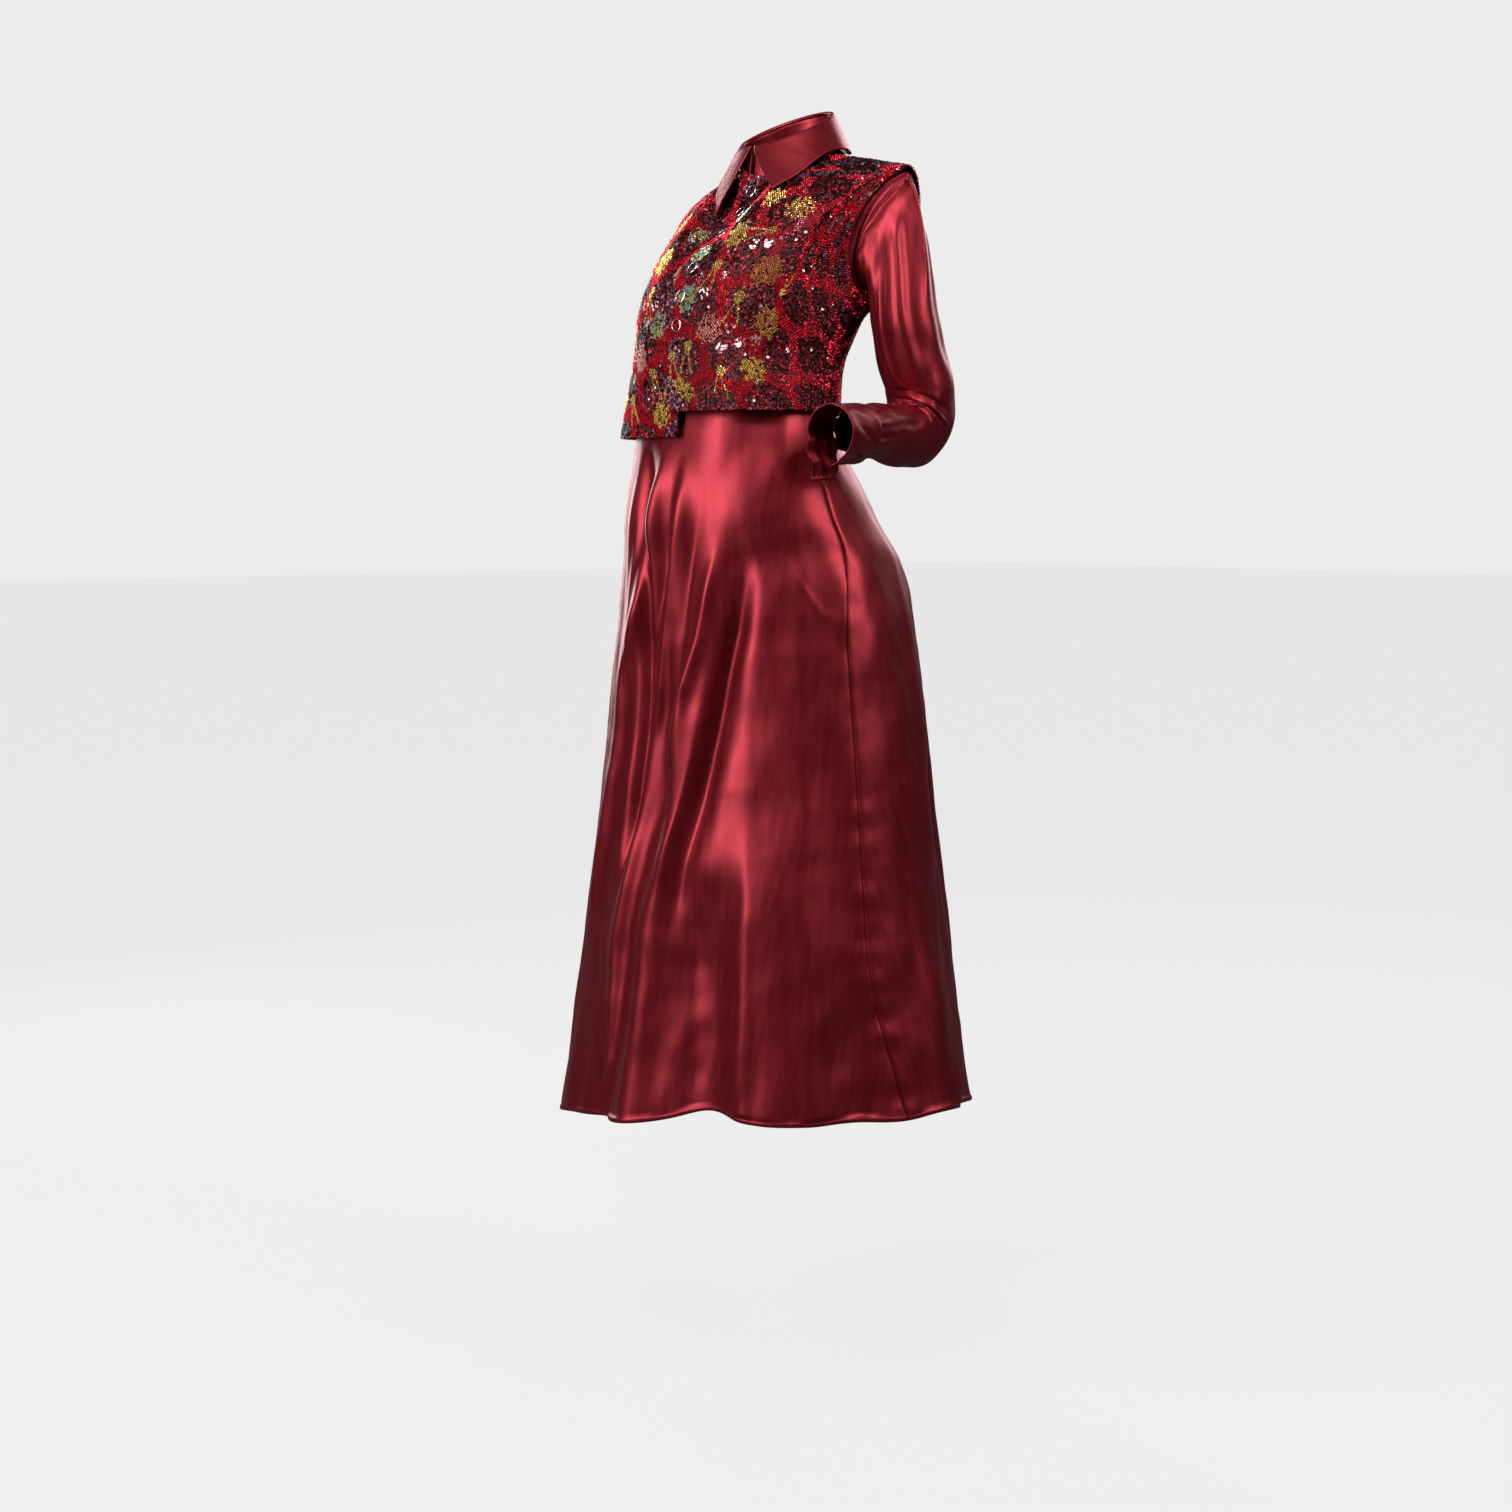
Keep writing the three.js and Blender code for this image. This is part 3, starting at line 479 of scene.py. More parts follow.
def ripples(u, v, wavelength, height, seed, across=1.0):
    """Soft unevenness of cloth: waves of about one length in many directions, tamed by across."""
    waves = np.random.default_rng(seed)
    total = np.zeros_like(u)
    count = 14
    for _ in range(count):
        turn = waves.uniform(0, math.pi)
        size = wavelength * waves.uniform(0.7, 1.5)
        phase = waves.uniform(0, 2 * math.pi)
        total += np.sin((u * math.cos(turn) * across + v * math.sin(turn)) * 2 * math.pi / size + phase)
    return total * height / math.sqrt(count)


def crease(u, v, start, end, width, depth, sharp=1.0):
    """One soft ridge (or trough, with a negative depth) from start to end, dying out at both."""
    start = np.array(start, float)
    end = np.array(end, float)
    way = end - start
    length = np.linalg.norm(way)
    way = way / length
    along = ((u - start[0]) * way[0] + (v - start[1]) * way[1]) / length
    off = (u - start[0]) * way[1] - (v - start[1]) * way[0]
    bow = 0.06 * length * (4 * along * (1 - along))
    fade = smooth(along / 0.3) * smooth((1 - along) / 0.35)
    near = np.exp(-np.abs((off - bow) / width) ** (2 * sharp))
    return depth * near * np.where((along > 0) & (along < 1), fade, 0)


def new_object(name, vertices, faces, material, smooth_faces=True):
    mesh = bpy.data.meshes.new(name)
    vertices = np.asarray(vertices, float) * MM
    faces = np.asarray(faces, np.int32)
    corners = faces.shape[1]
    mesh.vertices.add(len(vertices))
    mesh.vertices.foreach_set("co", vertices.ravel())
    mesh.loops.add(faces.size)
    mesh.loops.foreach_set("vertex_index", faces.ravel())
    mesh.polygons.add(len(faces))
    mesh.polygons.foreach_set("loop_start", np.arange(0, faces.size, corners, dtype=np.int32))
    mesh.polygons.foreach_set("use_smooth", np.full(len(faces), smooth_faces))
    mesh.update(calc_edges=True)
    mesh.validate()
    mesh.materials.append(material)
    piece = bpy.data.objects.new(name, mesh)
    bpy.context.scene.collection.objects.link(piece)
    return piece


def shell_faces(columns, rows, side):
    """Quads of a thin wall on a grid: the outer sheet, the inner one, and the rims between them."""
    shift = columns * rows
    i, j = np.meshgrid(np.arange(columns - 1), np.arange(rows - 1), indexing="ij")
    a = (i * rows + j).ravel()
    b = a + rows
    foot = np.arange(columns - 1) * rows
    foot_next = foot + rows
    head = foot + rows - 1
    head_next = head + rows
    first = np.arange(rows - 1)
    last = (columns - 1) * rows + first
    faces = np.concatenate([np.stack(corners, axis=1) for corners in (
        (a, b, b + 1, a + 1),
        (a + 1 + shift, b + 1 + shift, b + shift, a + shift),
        (foot + shift, foot_next + shift, foot_next, foot),
        (head, head_next, head_next + shift, head + shift),
        (first, first + 1, first + 1 + shift, first + shift),
        (last + 1, last, last + shift, last + 1 + shift),
    )])
    return faces if side > 0 else faces[:, ::-1]


def cloth(name, grid, side, material, thickness=SATIN, lift=SATIN_LIFT, relief=0.0):
    """A thin wall of cloth on a grid of points, raised by relief, with a UV map in metres."""
    normals = grid_normals(grid, side)
    relief = np.broadcast_to(np.asarray(relief, float), grid.shape[:2])[..., None]
    inner = grid + normals * (lift + relief)
    outer = grid + normals * (lift + relief + thickness)
    columns, rows = inner.shape[:2]
    vertices = np.concatenate([outer.reshape(-1, 3), inner.reshape(-1, 3)])
    piece = new_object(name, vertices, shell_faces(columns, rows, side), material)
    u, v = lengths(grid)
    u = u - u.mean(axis=0)
    places = np.tile(np.stack([u.ravel(), v.ravel()], axis=1) * MM, (2, 1))
    uv = piece.data.uv_layers.new(name="cloth")
    corner_vertices = np.empty(len(piece.data.loops), np.int32)
    piece.data.loops.foreach_get("vertex_index", corner_vertices)
    uv.data.foreach_set("uv", places[corner_vertices].ravel())
    return piece, outer, normals


def hold(piece, slot, *nodes):
    """The piece rides with the garment and stands for its solids."""
    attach(piece, "root")
    if nodes:
        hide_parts(*nodes)


# Materials

DISPLAY_GAMMA = 2.2


def rgb(red, green, blue):
    """A colour given as its display values from 0 to 255."""
    return tuple((c / 255) ** DISPLAY_GAMMA for c in (red, green, blue)) + (1.0,)


def new_material(name):
    material = bpy.data.materials.new(name)
    material.use_nodes = True
    nodes = material.node_tree.nodes
    shader = nodes["Principled BSDF"]
    return material, nodes, material.node_tree.links, shader


def group_sockets(group, inputs, outputs):
    for name, kind, value in inputs:
        socket = group.interface.new_socket(name=name, in_out="INPUT", socket_type=kind)
        socket.default_value = value
    for name, kind in outputs:
        group.interface.new_socket(name=name, in_out="OUTPUT", socket_type=kind)


def satin_weave_group():
    """Fine long floats of a satin weave, slubs and soft unevenness, as a height and a tint mask."""
    group = bpy.data.node_groups.new("satin weave", "ShaderNodeTree")
    group_sockets(group, [("Thread Scale", "NodeSocketFloat", 1500.0), ("Slub", "NodeSocketFloat", 0.4)],
                  [("Height", "NodeSocketFloat"), ("Tint", "NodeSocketFloat")])
    nodes, links = group.nodes, group.links
    entry = nodes.new("NodeGroupInput")
    leave = nodes.new("NodeGroupOutput")
    place_uv = nodes.new("ShaderNodeUVMap")
    place_uv.uv_map = "cloth"
    stretch = nodes.new("ShaderNodeMapping")
    stretch.inputs["Scale"].default_value = (1.0, 0.16, 1.0)
    links.new(place_uv.outputs["UV"], stretch.inputs["Vector"])
    threads = nodes.new("ShaderNodeTexNoise")
    threads.inputs["Detail"].default_value = 2.0
    links.new(stretch.outputs["Vector"], threads.inputs["Vector"])
    links.new(entry.outputs["Thread Scale"], threads.inputs["Scale"])
    slubs = nodes.new("ShaderNodeTexNoise")
    slubs.inputs["Scale"].default_value = 130.0
    slubs.inputs["Detail"].default_value = 3.0
    links.new(stretch.outputs["Vector"], slubs.inputs["Vector"])
    both = nodes.new("ShaderNodeMath")
    both.operation = "MULTIPLY_ADD"
    links.new(slubs.outputs["Fac"], both.inputs[0])
    links.new(entry.outputs["Slub"], both.inputs[1])
    links.new(threads.outputs["Fac"], both.inputs[2])
    links.new(both.outputs["Value"], leave.inputs["Height"])
    links.new(slubs.outputs["Fac"], leave.inputs["Tint"])
    return group


def satin_material(name, weave, light, dark, roughness):
    material, nodes, links, shader = new_material(name)
    woven = nodes.new("ShaderNodeGroup")
    woven.node_tree = weave
    tint = nodes.new("ShaderNodeMix")
    tint.data_type = "RGBA"
    tint.inputs["A"].default_value = dark
    tint.inputs["B"].default_value = light
    links.new(woven.outputs["Tint"], tint.inputs["Factor"])
    links.new(tint.outputs["Result"], shader.inputs["Base Color"])
    rough = nodes.new("ShaderNodeMapRange")
    rough.inputs["From Min"].default_value = 0.3
    rough.inputs["From Max"].default_value = 0.7
    rough.inputs["To Min"].default_value = roughness - 0.03
    rough.inputs["To Max"].default_value = roughness + 0.05
    links.new(woven.outputs["Tint"], rough.inputs["Value"])
    links.new(rough.outputs["Result"], shader.inputs["Roughness"])
    relief = nodes.new("ShaderNodeBump")
    relief.inputs["Strength"].default_value = 0.16
    relief.inputs["Distance"].default_value = 0.0004
    links.new(woven.outputs["Height"], relief.inputs["Height"])
    links.new(relief.outputs["Normal"], shader.inputs["Normal"])
    shader.inputs["Metallic"].default_value = 0.76
    shader.inputs["Specular IOR Level"].default_value = 0.8
    shader.inputs["Sheen Weight"].default_value = 0.04
    shader.inputs["Sheen Roughness"].default_value = 0.35
    shader.inputs["Sheen Tint"].default_value = rgb(205, 90, 100)
    return material


def worn_roughness(nodes, links, shader, scale, detail, low, high):
    """Roughness between two values, in spots fixed to the object."""
    where = nodes.new("ShaderNodeTexCoord")
    spots = nodes.new("ShaderNodeTexNoise")
    spots.inputs["Scale"].default_value = scale
    spots.inputs["Detail"].default_value = detail
    links.new(where.outputs["Object"], spots.inputs["Vector"])
    rough = nodes.new("ShaderNodeMapRange")
    rough.inputs["To Min"].default_value = low
    rough.inputs["To Max"].default_value = high
    links.new(spots.outputs["Fac"], rough.inputs["Value"])
    links.new(rough.outputs["Result"], shader.inputs["Roughness"])


def sequin_material():
    """Sequins and beads, each with a colour in the piece's colour attribute: their own colours, with painted
    glints and a painted grey reflection on some.
    """
    material, nodes, links, shader = new_material("sequins and beads")
    own = nodes.new("ShaderNodeAttribute")
    own.attribute_name = "sequin_colour"
    links.new(own.outputs["Color"], shader.inputs["Base Color"])
    worn_roughness(nodes, links, shader, 700.0, 2.0, 0.24, 0.42)
    shader.inputs["Metallic"].default_value = 0.68
    shader.inputs["Specular IOR Level"].default_value = 0.35
    shader.inputs["Coat Weight"].default_value = 0.06
    shader.inputs["Coat Roughness"].default_value = 0.12
    return material


def metal_material():
    material, nodes, links, shader = new_material("polished ring metal")
    worn_roughness(nodes, links, shader, 900.0, 4.0, 0.12, 0.3)
    shader.inputs["Base Color"].default_value = rgb(222, 214, 208)
    shader.inputs["Metallic"].default_value = 1.0
    return material


weave = satin_weave_group()
SATIN_CLOTH = satin_material("wine satin", weave, rgb(142, 30, 43), rgb(118, 20, 31), 0.4)
SATIN_INSIDE = satin_material("wine satin pocketing", weave, rgb(96, 12, 26), rgb(60, 6, 16), 0.5)
VEST_GROUND = satin_material("vest ground cloth", weave, rgb(126, 16, 28), rgb(64, 8, 16), 0.55)
SEQUINS = sequin_material()
RING_METAL = metal_material()
THREAD = satin_material("wine sewing thread", weave, rgb(120, 24, 36), rgb(88, 14, 24), 0.5)


# Stitches, set along a line of places on a piece

STITCH_LENGTH = 2.2
STITCH_SPACING = 3.2
STITCH_THICKNESS = 0.45


def stitch_tree():
    """Even stitches along the edges that come in: each one a small rounded thread."""
    tree = bpy.data.node_groups.new("stitches along a line", "GeometryNodeTree")
    face = tree.interface
    face.new_socket("Line", in_out="INPUT", socket_type="NodeSocketGeometry")
    sizes = {}
    for name, value in (("Stitch Length", STITCH_LENGTH), ("Spacing", STITCH_SPACING),
                        ("Thickness", STITCH_THICKNESS)):
        socket = face.new_socket(name, in_out="INPUT", socket_type="NodeSocketFloat")
        socket.default_value = value * MM
        sizes[name] = socket.identifier
    thread = face.new_socket("Thread", in_out="INPUT", socket_type="NodeSocketMaterial")
    sizes["Thread"] = thread.identifier
    face.new_socket("Stitches", in_out="OUTPUT", socket_type="NodeSocketGeometry")
    nodes, links = tree.nodes, tree.links
    entry = nodes.new("NodeGroupInput")
    leave = nodes.new("NodeGroupOutput")
    line = nodes.new("GeometryNodeMeshToCurve")
    spaced = nodes.new("GeometryNodeResampleCurve")
    spaced.mode = "LENGTH"
    tangent = nodes.new("GeometryNodeInputTangent")
    turn = nodes.new("FunctionNodeAlignRotationToVector")
    turn.axis = "X"
    thread_shape = nodes.new("GeometryNodeMeshIcoSphere")
    thread_shape.inputs["Radius"].default_value = 0.5
    thread_shape.inputs["Subdivisions"].default_value = 1
    size = nodes.new("ShaderNodeCombineXYZ")
    copies = nodes.new("GeometryNodeInstanceOnPoints")
    whole = nodes.new("GeometryNodeRealizeInstances")
    finish = nodes.new("GeometryNodeSetMaterial")
    links.new(entry.outputs["Line"], line.inputs["Mesh"])
    links.new(line.outputs["Curve"], spaced.inputs["Curve"])
    links.new(entry.outputs["Spacing"], spaced.inputs["Length"])
    links.new(tangent.outputs["Tangent"], turn.inputs["Vector"])
    links.new(entry.outputs["Stitch Length"], size.inputs["X"])
    links.new(entry.outputs["Thickness"], size.inputs["Y"])
    links.new(entry.outputs["Thickness"], size.inputs["Z"])
    links.new(spaced.outputs["Curve"], copies.inputs["Points"])
    links.new(thread_shape.outputs["Mesh"], copies.inputs["Instance"])
    links.new(turn.outputs["Rotation"], copies.inputs["Rotation"])
    links.new(size.outputs["Vector"], copies.inputs["Scale"])
    links.new(copies.outputs["Instances"], whole.inputs["Geometry"])
    links.new(whole.outputs["Geometry"], finish.inputs["Geometry"])
    links.new(entry.outputs["Thread"], finish.inputs["Material"])
    links.new(finish.outputs["Geometry"], leave.inputs["Stitches"])
    return tree, sizes


STITCHES, STITCH_SOCKETS = stitch_tree()


def stitch_row(name, lines):
    """Stitches along lines of points, joined in one plain mesh."""
    vertices, edges = [], []
    for points in lines:
        start = len(vertices)
        vertices += [tuple(p * MM) for p in points]
        edges += [(start + i, start + i + 1) for i in range(len(points) - 1)]
    mesh = bpy.data.meshes.new(name + "_line")
    mesh.from_pydata(vertices, edges, [])
    row = bpy.data.objects.new(name, mesh)
    bpy.context.scene.collection.objects.link(row)
    sewing = row.modifiers.new("stitches", "NODES")
    sewing.node_group = STITCHES
    for socket, value in (("Stitch Length", STITCH_LENGTH * MM), ("Spacing", STITCH_SPACING * MM),
                          ("Thickness", STITCH_THICKNESS * MM), ("Thread", THREAD)):
        sewing[STITCH_SOCKETS[socket]] = value
    bpy.context.view_layer.update()
    finished = bpy.data.meshes.new_from_object(row.evaluated_get(bpy.context.evaluated_depsgraph_get()))
    row.modifiers.remove(sewing)
    row.data = finished
    hold(row, "satin")
    return row


# Skirt

def hem_at(degrees):
    height = FRONT_HEM_HEIGHT + HEM_TILT * np.cos(np.radians(degrees - HEM_HIGH_ANGLE))
    for row in HEM_LIFTS:
        height = height + row["lift"] * bump(degrees, row["angle"], row["width"])
    return height


def fold_depth(degrees, height, folds):
    total = np.zeros_like(height)
    for row in folds:
        down = (row["top"] - height) / (row["top"] - row["foot"])
        fade = 1.0
        if row["foot"] > FRONT_HEM_HEIGHT:
            fade = 1 - smooth((down - 0.6) / 0.4)
        angle = mix(row["top_angle"], row["foot_angle"], np.minimum(down, 1))
        total += row["depth"] * smooth(down * 3) * fade * bump(degrees, angle, row["width"])
    return total


def skirt_point(degrees, down, push=0.0, folds=SKIRT_FOLDS + FINE_FOLDS):
    height = mix(WAIST_HEIGHT, hem_at(degrees), down)
    return section_point(DRESS, degrees, height, push + fold_depth(degrees, height, folds))


POCKET_TOP = 0.215
POCKET_FOOT = 0.345
POCKET_GAPE = 5.0
ROLL_SHARE = 0.008
ROLL_HEIGHT = 1.1
HEM_STITCH_ROWS = 8
SEAM_CALM = 30.0
SEAT_HEIGHT = 1010.0
SEAT_REACH = 38.0
SEAT_DROP = 6.0


def seam_turn(down):
    return seam_angle_at(mix(WAIST_HEIGHT, 380, down))


def skirt_rows(count):
    """Rows down the skirt, close together over the rolled hem."""
    return np.concatenate([np.linspace(0, 1 - ROLL_SHARE, count), 1 - ROLL_SHARE * np.linspace(0.84, 0, 7)])


def hem_roll(down):
    """The narrow rolled hem: a bead along the edge, and the stitched line above it."""
    way = clamp01((down - (1 - ROLL_SHARE)) / ROLL_SHARE)
    return ROLL_HEIGHT * np.sin(math.pi * way) ** 0.6 * (way > 0)


# Crisp folds of the cloth, each a line of places given as degrees round the skirt and height,
# with its width and depth. They run downwards.
SKIRT_LINES = (
    (((-21, 1110), (-19, 1020), (-24, 855), (-32, 640), (-34, 520)), 9, 6),
    (((-10, 1115), (-10, 920), (-13, 725), (-15, 590)), 6, -10),
    (((0, 1125), (-3, 1065), (-8, 1000), (-13, 940), (-24, 840)), 7, 7),
    (((4, 1090), (0, 980), (-7, 890), (-12, 690), (-16, 560)), 7, -8),
    (((7, 1115), (8, 1035), (0, 890), (-7, 760)), 6, 6),
    (((17, 1060), (10, 900), (3, 760), (-3, 640)), 7, -6),
    (((26, 1010), (18, 895), (11, 830), (3, 720)), 6, 6),
    (((35, 1000), (28, 940), (20, 830), (9, 670), (4, 580)), 7, 7),
    (((38, 995), (26, 860), (15, 670), (9, 540)), 10, -8),
    (((-11, 740), (-12, 605), (-14, 535), (-12, 395), (-16, 310)), 9, 8),
    (((-3, 560), (-3, 420), (-4, 300)), 14, -5),
    (((36, 700), (37, 540), (36, 380), (37, 290)), 12, 4),
    (((54, 620), (56, 480), (55, 300)), 11, 3.5),
    (((64, 830), (66, 640), (69, 470)), 14, -3),
    (((128, 560), (112, 460), (104, 350)), 10, 5),
    (((118, 900), (119, 700), (112, 520)), 12, 4),
    (((134, 860), (138, 700), (140, 520), (142, 320)), 11, -5),
    (((156, 1080), (154, 900), (160, 640), (158, 330)), 10, 6),
    (((181, 1100), (184, 860), (181, 560), (186, 300)), 11, -7),
    (((204, 1060), (201, 800), (207, 480)), 9, 6),
    (((232, 1080), (236, 840), (233, 560), (238, 300)), 11, 6),
    (((258, 1000), (262, 760), (259, 500)), 12, -6),
    (((292, 1090), (296, 900), (293, 640), (297, 300)), 11, 5),
    (((-52, 1100), (-50, 940), (-56, 700)), 9, 5),
    (((-62, 1020), (-66, 760), (-64, 480), (-67, 300)), 12, -5),
)
# Drag lines that run round the body, given the same way
SKIRT_DRAGS = (
    (((26, 990), (38, 1006), (56, 1016), (72, 1026), (84, 1030)), 11, 0.8),
    (((24, 970), (40, 984), (60, 992), (74, 996)), 26, -0.9),
    (((54, 985), (59, 955), (65, 926), (73, 920)), 5, 1.0),
    (((58, 1078), (74, 1066), (92, 1072)), 12, 1.2),
    (((36, 880), (56, 884), (74, 890)), 3, 0.3),
    (((14, 728), (44, 734)), 3, 0.32),
    (((78, 865), (100, 856), (124, 850)), 3, 0.3),
    (((30, 648), (48, 664), (66, 670)), 3, 0.3),
    (((-30, 700), (-6, 690)), 3, 0.3),
    (((150, 820), (176, 812), (204, 818)), 3, 0.3),
    (((232, 640), (262, 650), (290, 644)), 3, 0.3),
    (((160, 500), (190, 494)), 3, 0.3),
    (((88, 1012), (104, 1004), (120, 992)), 14, 0.6),
    (((-80, 1030), (-62, 1020), (-44, 1004)), 14, 0.7),
)


LINE_SOFTNESS = 1.45


def line_relief(along, across, per_unit, rows, width, depth):
    """One fold along a line of places: it follows them, and dies out at both ends."""
    rows = sorted(rows, key=lambda row: row[0])
    stations = np.array([row[0] for row in rows], float)
    middles = np.array([row[1] for row in rows], float)
    off = (across - np.interp(along, stations, middles)) * per_unit
    reach = (stations[-1] - stations[0]) * 0.22
    fade = smooth((along - stations[0]) / reach) * smooth((stations[-1] - along) / reach)
    return depth * fade * np.exp(-np.abs(off / width) ** 1.7)


def skirt_relief(degrees, height):
    """The folds and drag lines of the cloth, wherever round the skirt it is."""
    relief = np.zeros_like(height)
    radius = DRESS["half_width"](height) * math.pi / 180
    for turn in (-360, 0, 360):
        for places, width, depth in SKIRT_LINES:
            rows = [(row[1], row[0] + turn) for row in places]
            relief += line_relief(height, degrees, radius, rows, width * LINE_SOFTNESS, depth)
        for places, width, depth in SKIRT_DRAGS:
            rows = [(row[0] + turn, row[1]) for row in places]
            relief += line_relief(degrees, height, 1.0, rows, width, depth)
    from_front = np.abs((degrees + 180) % 360 - 180)
    behind = smooth((from_front - 95) / 35)
    relief -= SEAT_DROP * np.exp(-((height - SEAT_HEIGHT) / SEAT_REACH) ** 2) * behind
    low = smooth((1000 - height) / 700)
    sway = np.radians(degrees)
    drift = height / 160
    relief += (0.1 + 0.5 * low) * np.sin(sway * 29 + 1.7 * np.sin(drift)) * np.sin(sway * 5 + drift * 0.6)
    relief += 0.16 * low * np.sin(sway * 61 + 2.1 * np.sin(drift * 1.3 + 1)) * np.cos(sway * 7 - drift * 0.8)
    return relief


def seam_puckers(u, v, seed):
    """Small dimples along a sewn side seam, strongest where the cloth hangs slack."""
    close = np.exp(-(u / 18) ** 2)
    waves = np.sin(v * 2 * math.pi / 63 + 2.2 * np.sin(v / 41 + seed))
    waves = waves + 0.5 * np.sin(v * 2 * math.pi / 31 + seed)
    slack = smooth((v - 40) / 120) * (0.5 + 1.1 * smooth((v - 380) / 260))
    return 0.6 * close * waves * slack


def seam_dip(distance):
    return -1.1 * np.exp(-(distance / 2.2) ** 2)


def skirt_panel(name, grid, around, down, left_at_end, mouth, unevenness, seed):
    """One panel: its left side seam is at the grid's end or start, and mouth opens that seam."""
    u, v = lengths(grid)
    far = u[-1] - u
    from_left, from_right = (far, u) if left_at_end else (u, far)
    relief = ripples(u, v, 120, unevenness, seed, 1.4) + ripples(u, v, 34, 0.16, seed + 1)
    relief *= smooth(np.minimum(u, far) / SEAM_CALM)
    relief += seam_puckers(from_left, v, 0.4) + seam_puckers(from_right, v, 2.2)
    relief += seam_dip(from_left) * (1 - mouth) + seam_dip(from_right)
    relief += skirt_relief(around, mix(WAIST_HEIGHT, hem_at(around), down))
    roll = hem_roll(down)
    relief = relief * (1 - 0.7 * (roll > 0)) + roll
    piece, outer, _ = cloth(name, grid, -1, SATIN_CLOTH, relief=relief)
    hold(piece, "satin", name)
    stitches = stitch_row(name + "_hem_stitches", [outer[:, grid.shape[1] - HEM_STITCH_ROWS]])


def skirt():
    s, down = grid_shares(230, skirt_rows(150))
    left = seam_turn(down)
    mouth = np.sin(math.pi * clamp01((down - POCKET_TOP) / (POCKET_FOOT - POCKET_TOP)))
    near = smooth((s - 0.93) / 0.07)
    around = mix(-left, left, s)
    skirt_panel("skirt_front", skirt_point(around, down, POCKET_GAPE * mouth * near), around, down,
                True, mouth, 0.8, 3)
    around = mix(left, 360 - left, s)
    skirt_panel("skirt_back", skirt_point(around, down), around, down, False, 0.0, 0.9, 5)


POCKET_WIDTH = 30.0
POCKET_DEPTH = 0.09
POCKET_INSET = 7.0
POCKET_SEAT = 2.0


def pocket():
    s, t = grid_shares(40, 50)
    down = mix(POCKET_TOP - 0.015, POCKET_FOOT + POCKET_DEPTH, t)
    start = seam_turn(down) + 1
    rounded = np.sqrt(clamp01(1 - np.maximum(0, (t - 0.6) / 0.4) ** 2))
    width = POCKET_WIDTH * mix(0.35, 1, rounded)
    inset = mix(POCKET_SEAT, POCKET_INSET, smooth((1 - s) * 4))
    bag = skirt_point(start - width * (1 - s), down, -inset, SKIRT_FOLDS)
    u, v = lengths(bag)
    relief = ripples(u, v, 40, 0.35, 8)
    piece, _, _ = cloth("pocket_bag", bag, -1, SATIN_INSIDE, 0.5, 0.2, relief)
    hold(piece, "satin", "pocket_bag")


# Bodice

def bodice():
    def front(side):
        return lambda s, t: bodice_point(side, bodice_part(s), t, False)

    def back(s, t):
        left = bodice_point(1, bodice_part(np.abs(1 - 2 * s)), t, True)
        right = bodice_point(-1, bodice_part(np.abs(2 * s - 1)), t, True)
        return np.where((s < 0.5)[..., None], left, right)

    panels = (
        ("bodice_front_left", front(1), 1, 70),
        ("bodice_front_right", front(-1), -1, 70),
        ("bodice_back", back, 1, 110),
    )
    for number, (name, surface, side, across) in enumerate(panels):
        s, t = grid_shares(across, 50)
        grid = surface(s, t)
        u, v = lengths(grid)
        edge = np.minimum(v, v[:, -1:] - v)
        relief = ripples(u, v, 70, 0.45, 20 + number) * smooth(edge / 12) + seam_dip(edge) * 0.5
        piece, _, _ = cloth(name, grid, side, SATIN_CLOTH, relief=relief)
        hold(piece, "satin", name)


# Sleeves

def arm_line(rows):
    """A smooth arm: its middle line by a centripetal spline, and its half-sizes along it."""
    points = np.array([(r["x"], r["y"], r["height"] - FLOOR_HEIGHT) for r in rows], float)
    stations = [dict(row, height=i) for i, row in enumerate(rows)]
    across = column(stations, "across")
    crook = column(stations, "crook")
    elbow = column(stations, "elbow")
    last = len(rows) - 1

    def middle(share):
        return centripetal(points, share)

    def at(share, degrees, swell=0.0):
        share, degrees = np.broadcast_arrays(np.asarray(share, float), np.asarray(degrees, float))
        centre = middle(share)
        step = 1e-4
        tangent = normalized(middle(clamp01(share + step)) - middle(clamp01(share - step)))
        side = np.broadcast_to(np.array([1.0, 0, 0]), centre.shape)
        side = normalized(side - tangent * (side * tangent).sum(axis=-1, keepdims=True))
        crook_way = np.cross(tangent, side)
        turn = np.radians(degrees)
        bent = np.sin(turn)
        deep = np.where(bent > 0, crook(share * last), elbow(share * last))
        return (centre + side * (np.cos(turn) * (across(share * last) + swell))[..., None]
                + crook_way * (bent * (deep + swell))[..., None])
    return at


def centripetal(points, share):
    """A point of the centripetal Catmull-Rom spline through the points, share 0 to 1 along it."""
    share = np.asarray(share, float)
    spot = share * (len(points) - 1)
    i = np.clip(np.floor(spot).astype(int), 0, len(points) - 2)
    weight = (spot - i)[..., None]
    ends = np.concatenate([[2 * points[0] - points[1]], points, [2 * points[-1] - points[-2]]])
    p0, p1, p2, p3 = ends[i], ends[i + 1], ends[i + 2], ends[i + 3]

    def knot(a, b):
        return np.maximum((((b - a) ** 2).sum(axis=-1, keepdims=True)) ** 0.25, 1e-4)
    d0, d1, d2 = knot(p0, p1), knot(p1, p2), knot(p2, p3)
    t1 = ((p1 - p0) / d0 - (p2 - p0) / (d0 + d1) + (p2 - p1) / d1) * d1
    t2 = ((p2 - p1) / d1 - (p3 - p1) / (d1 + d2) + (p3 - p2) / d2) * d1
    w = weight
    return (p1 * (2 * w**3 - 3 * w**2 + 1) + t1 * (w**3 - 2 * w**2 + w)
            + p2 * (3 * w**2 - 2 * w**3) + t2 * (w**3 - w**2))


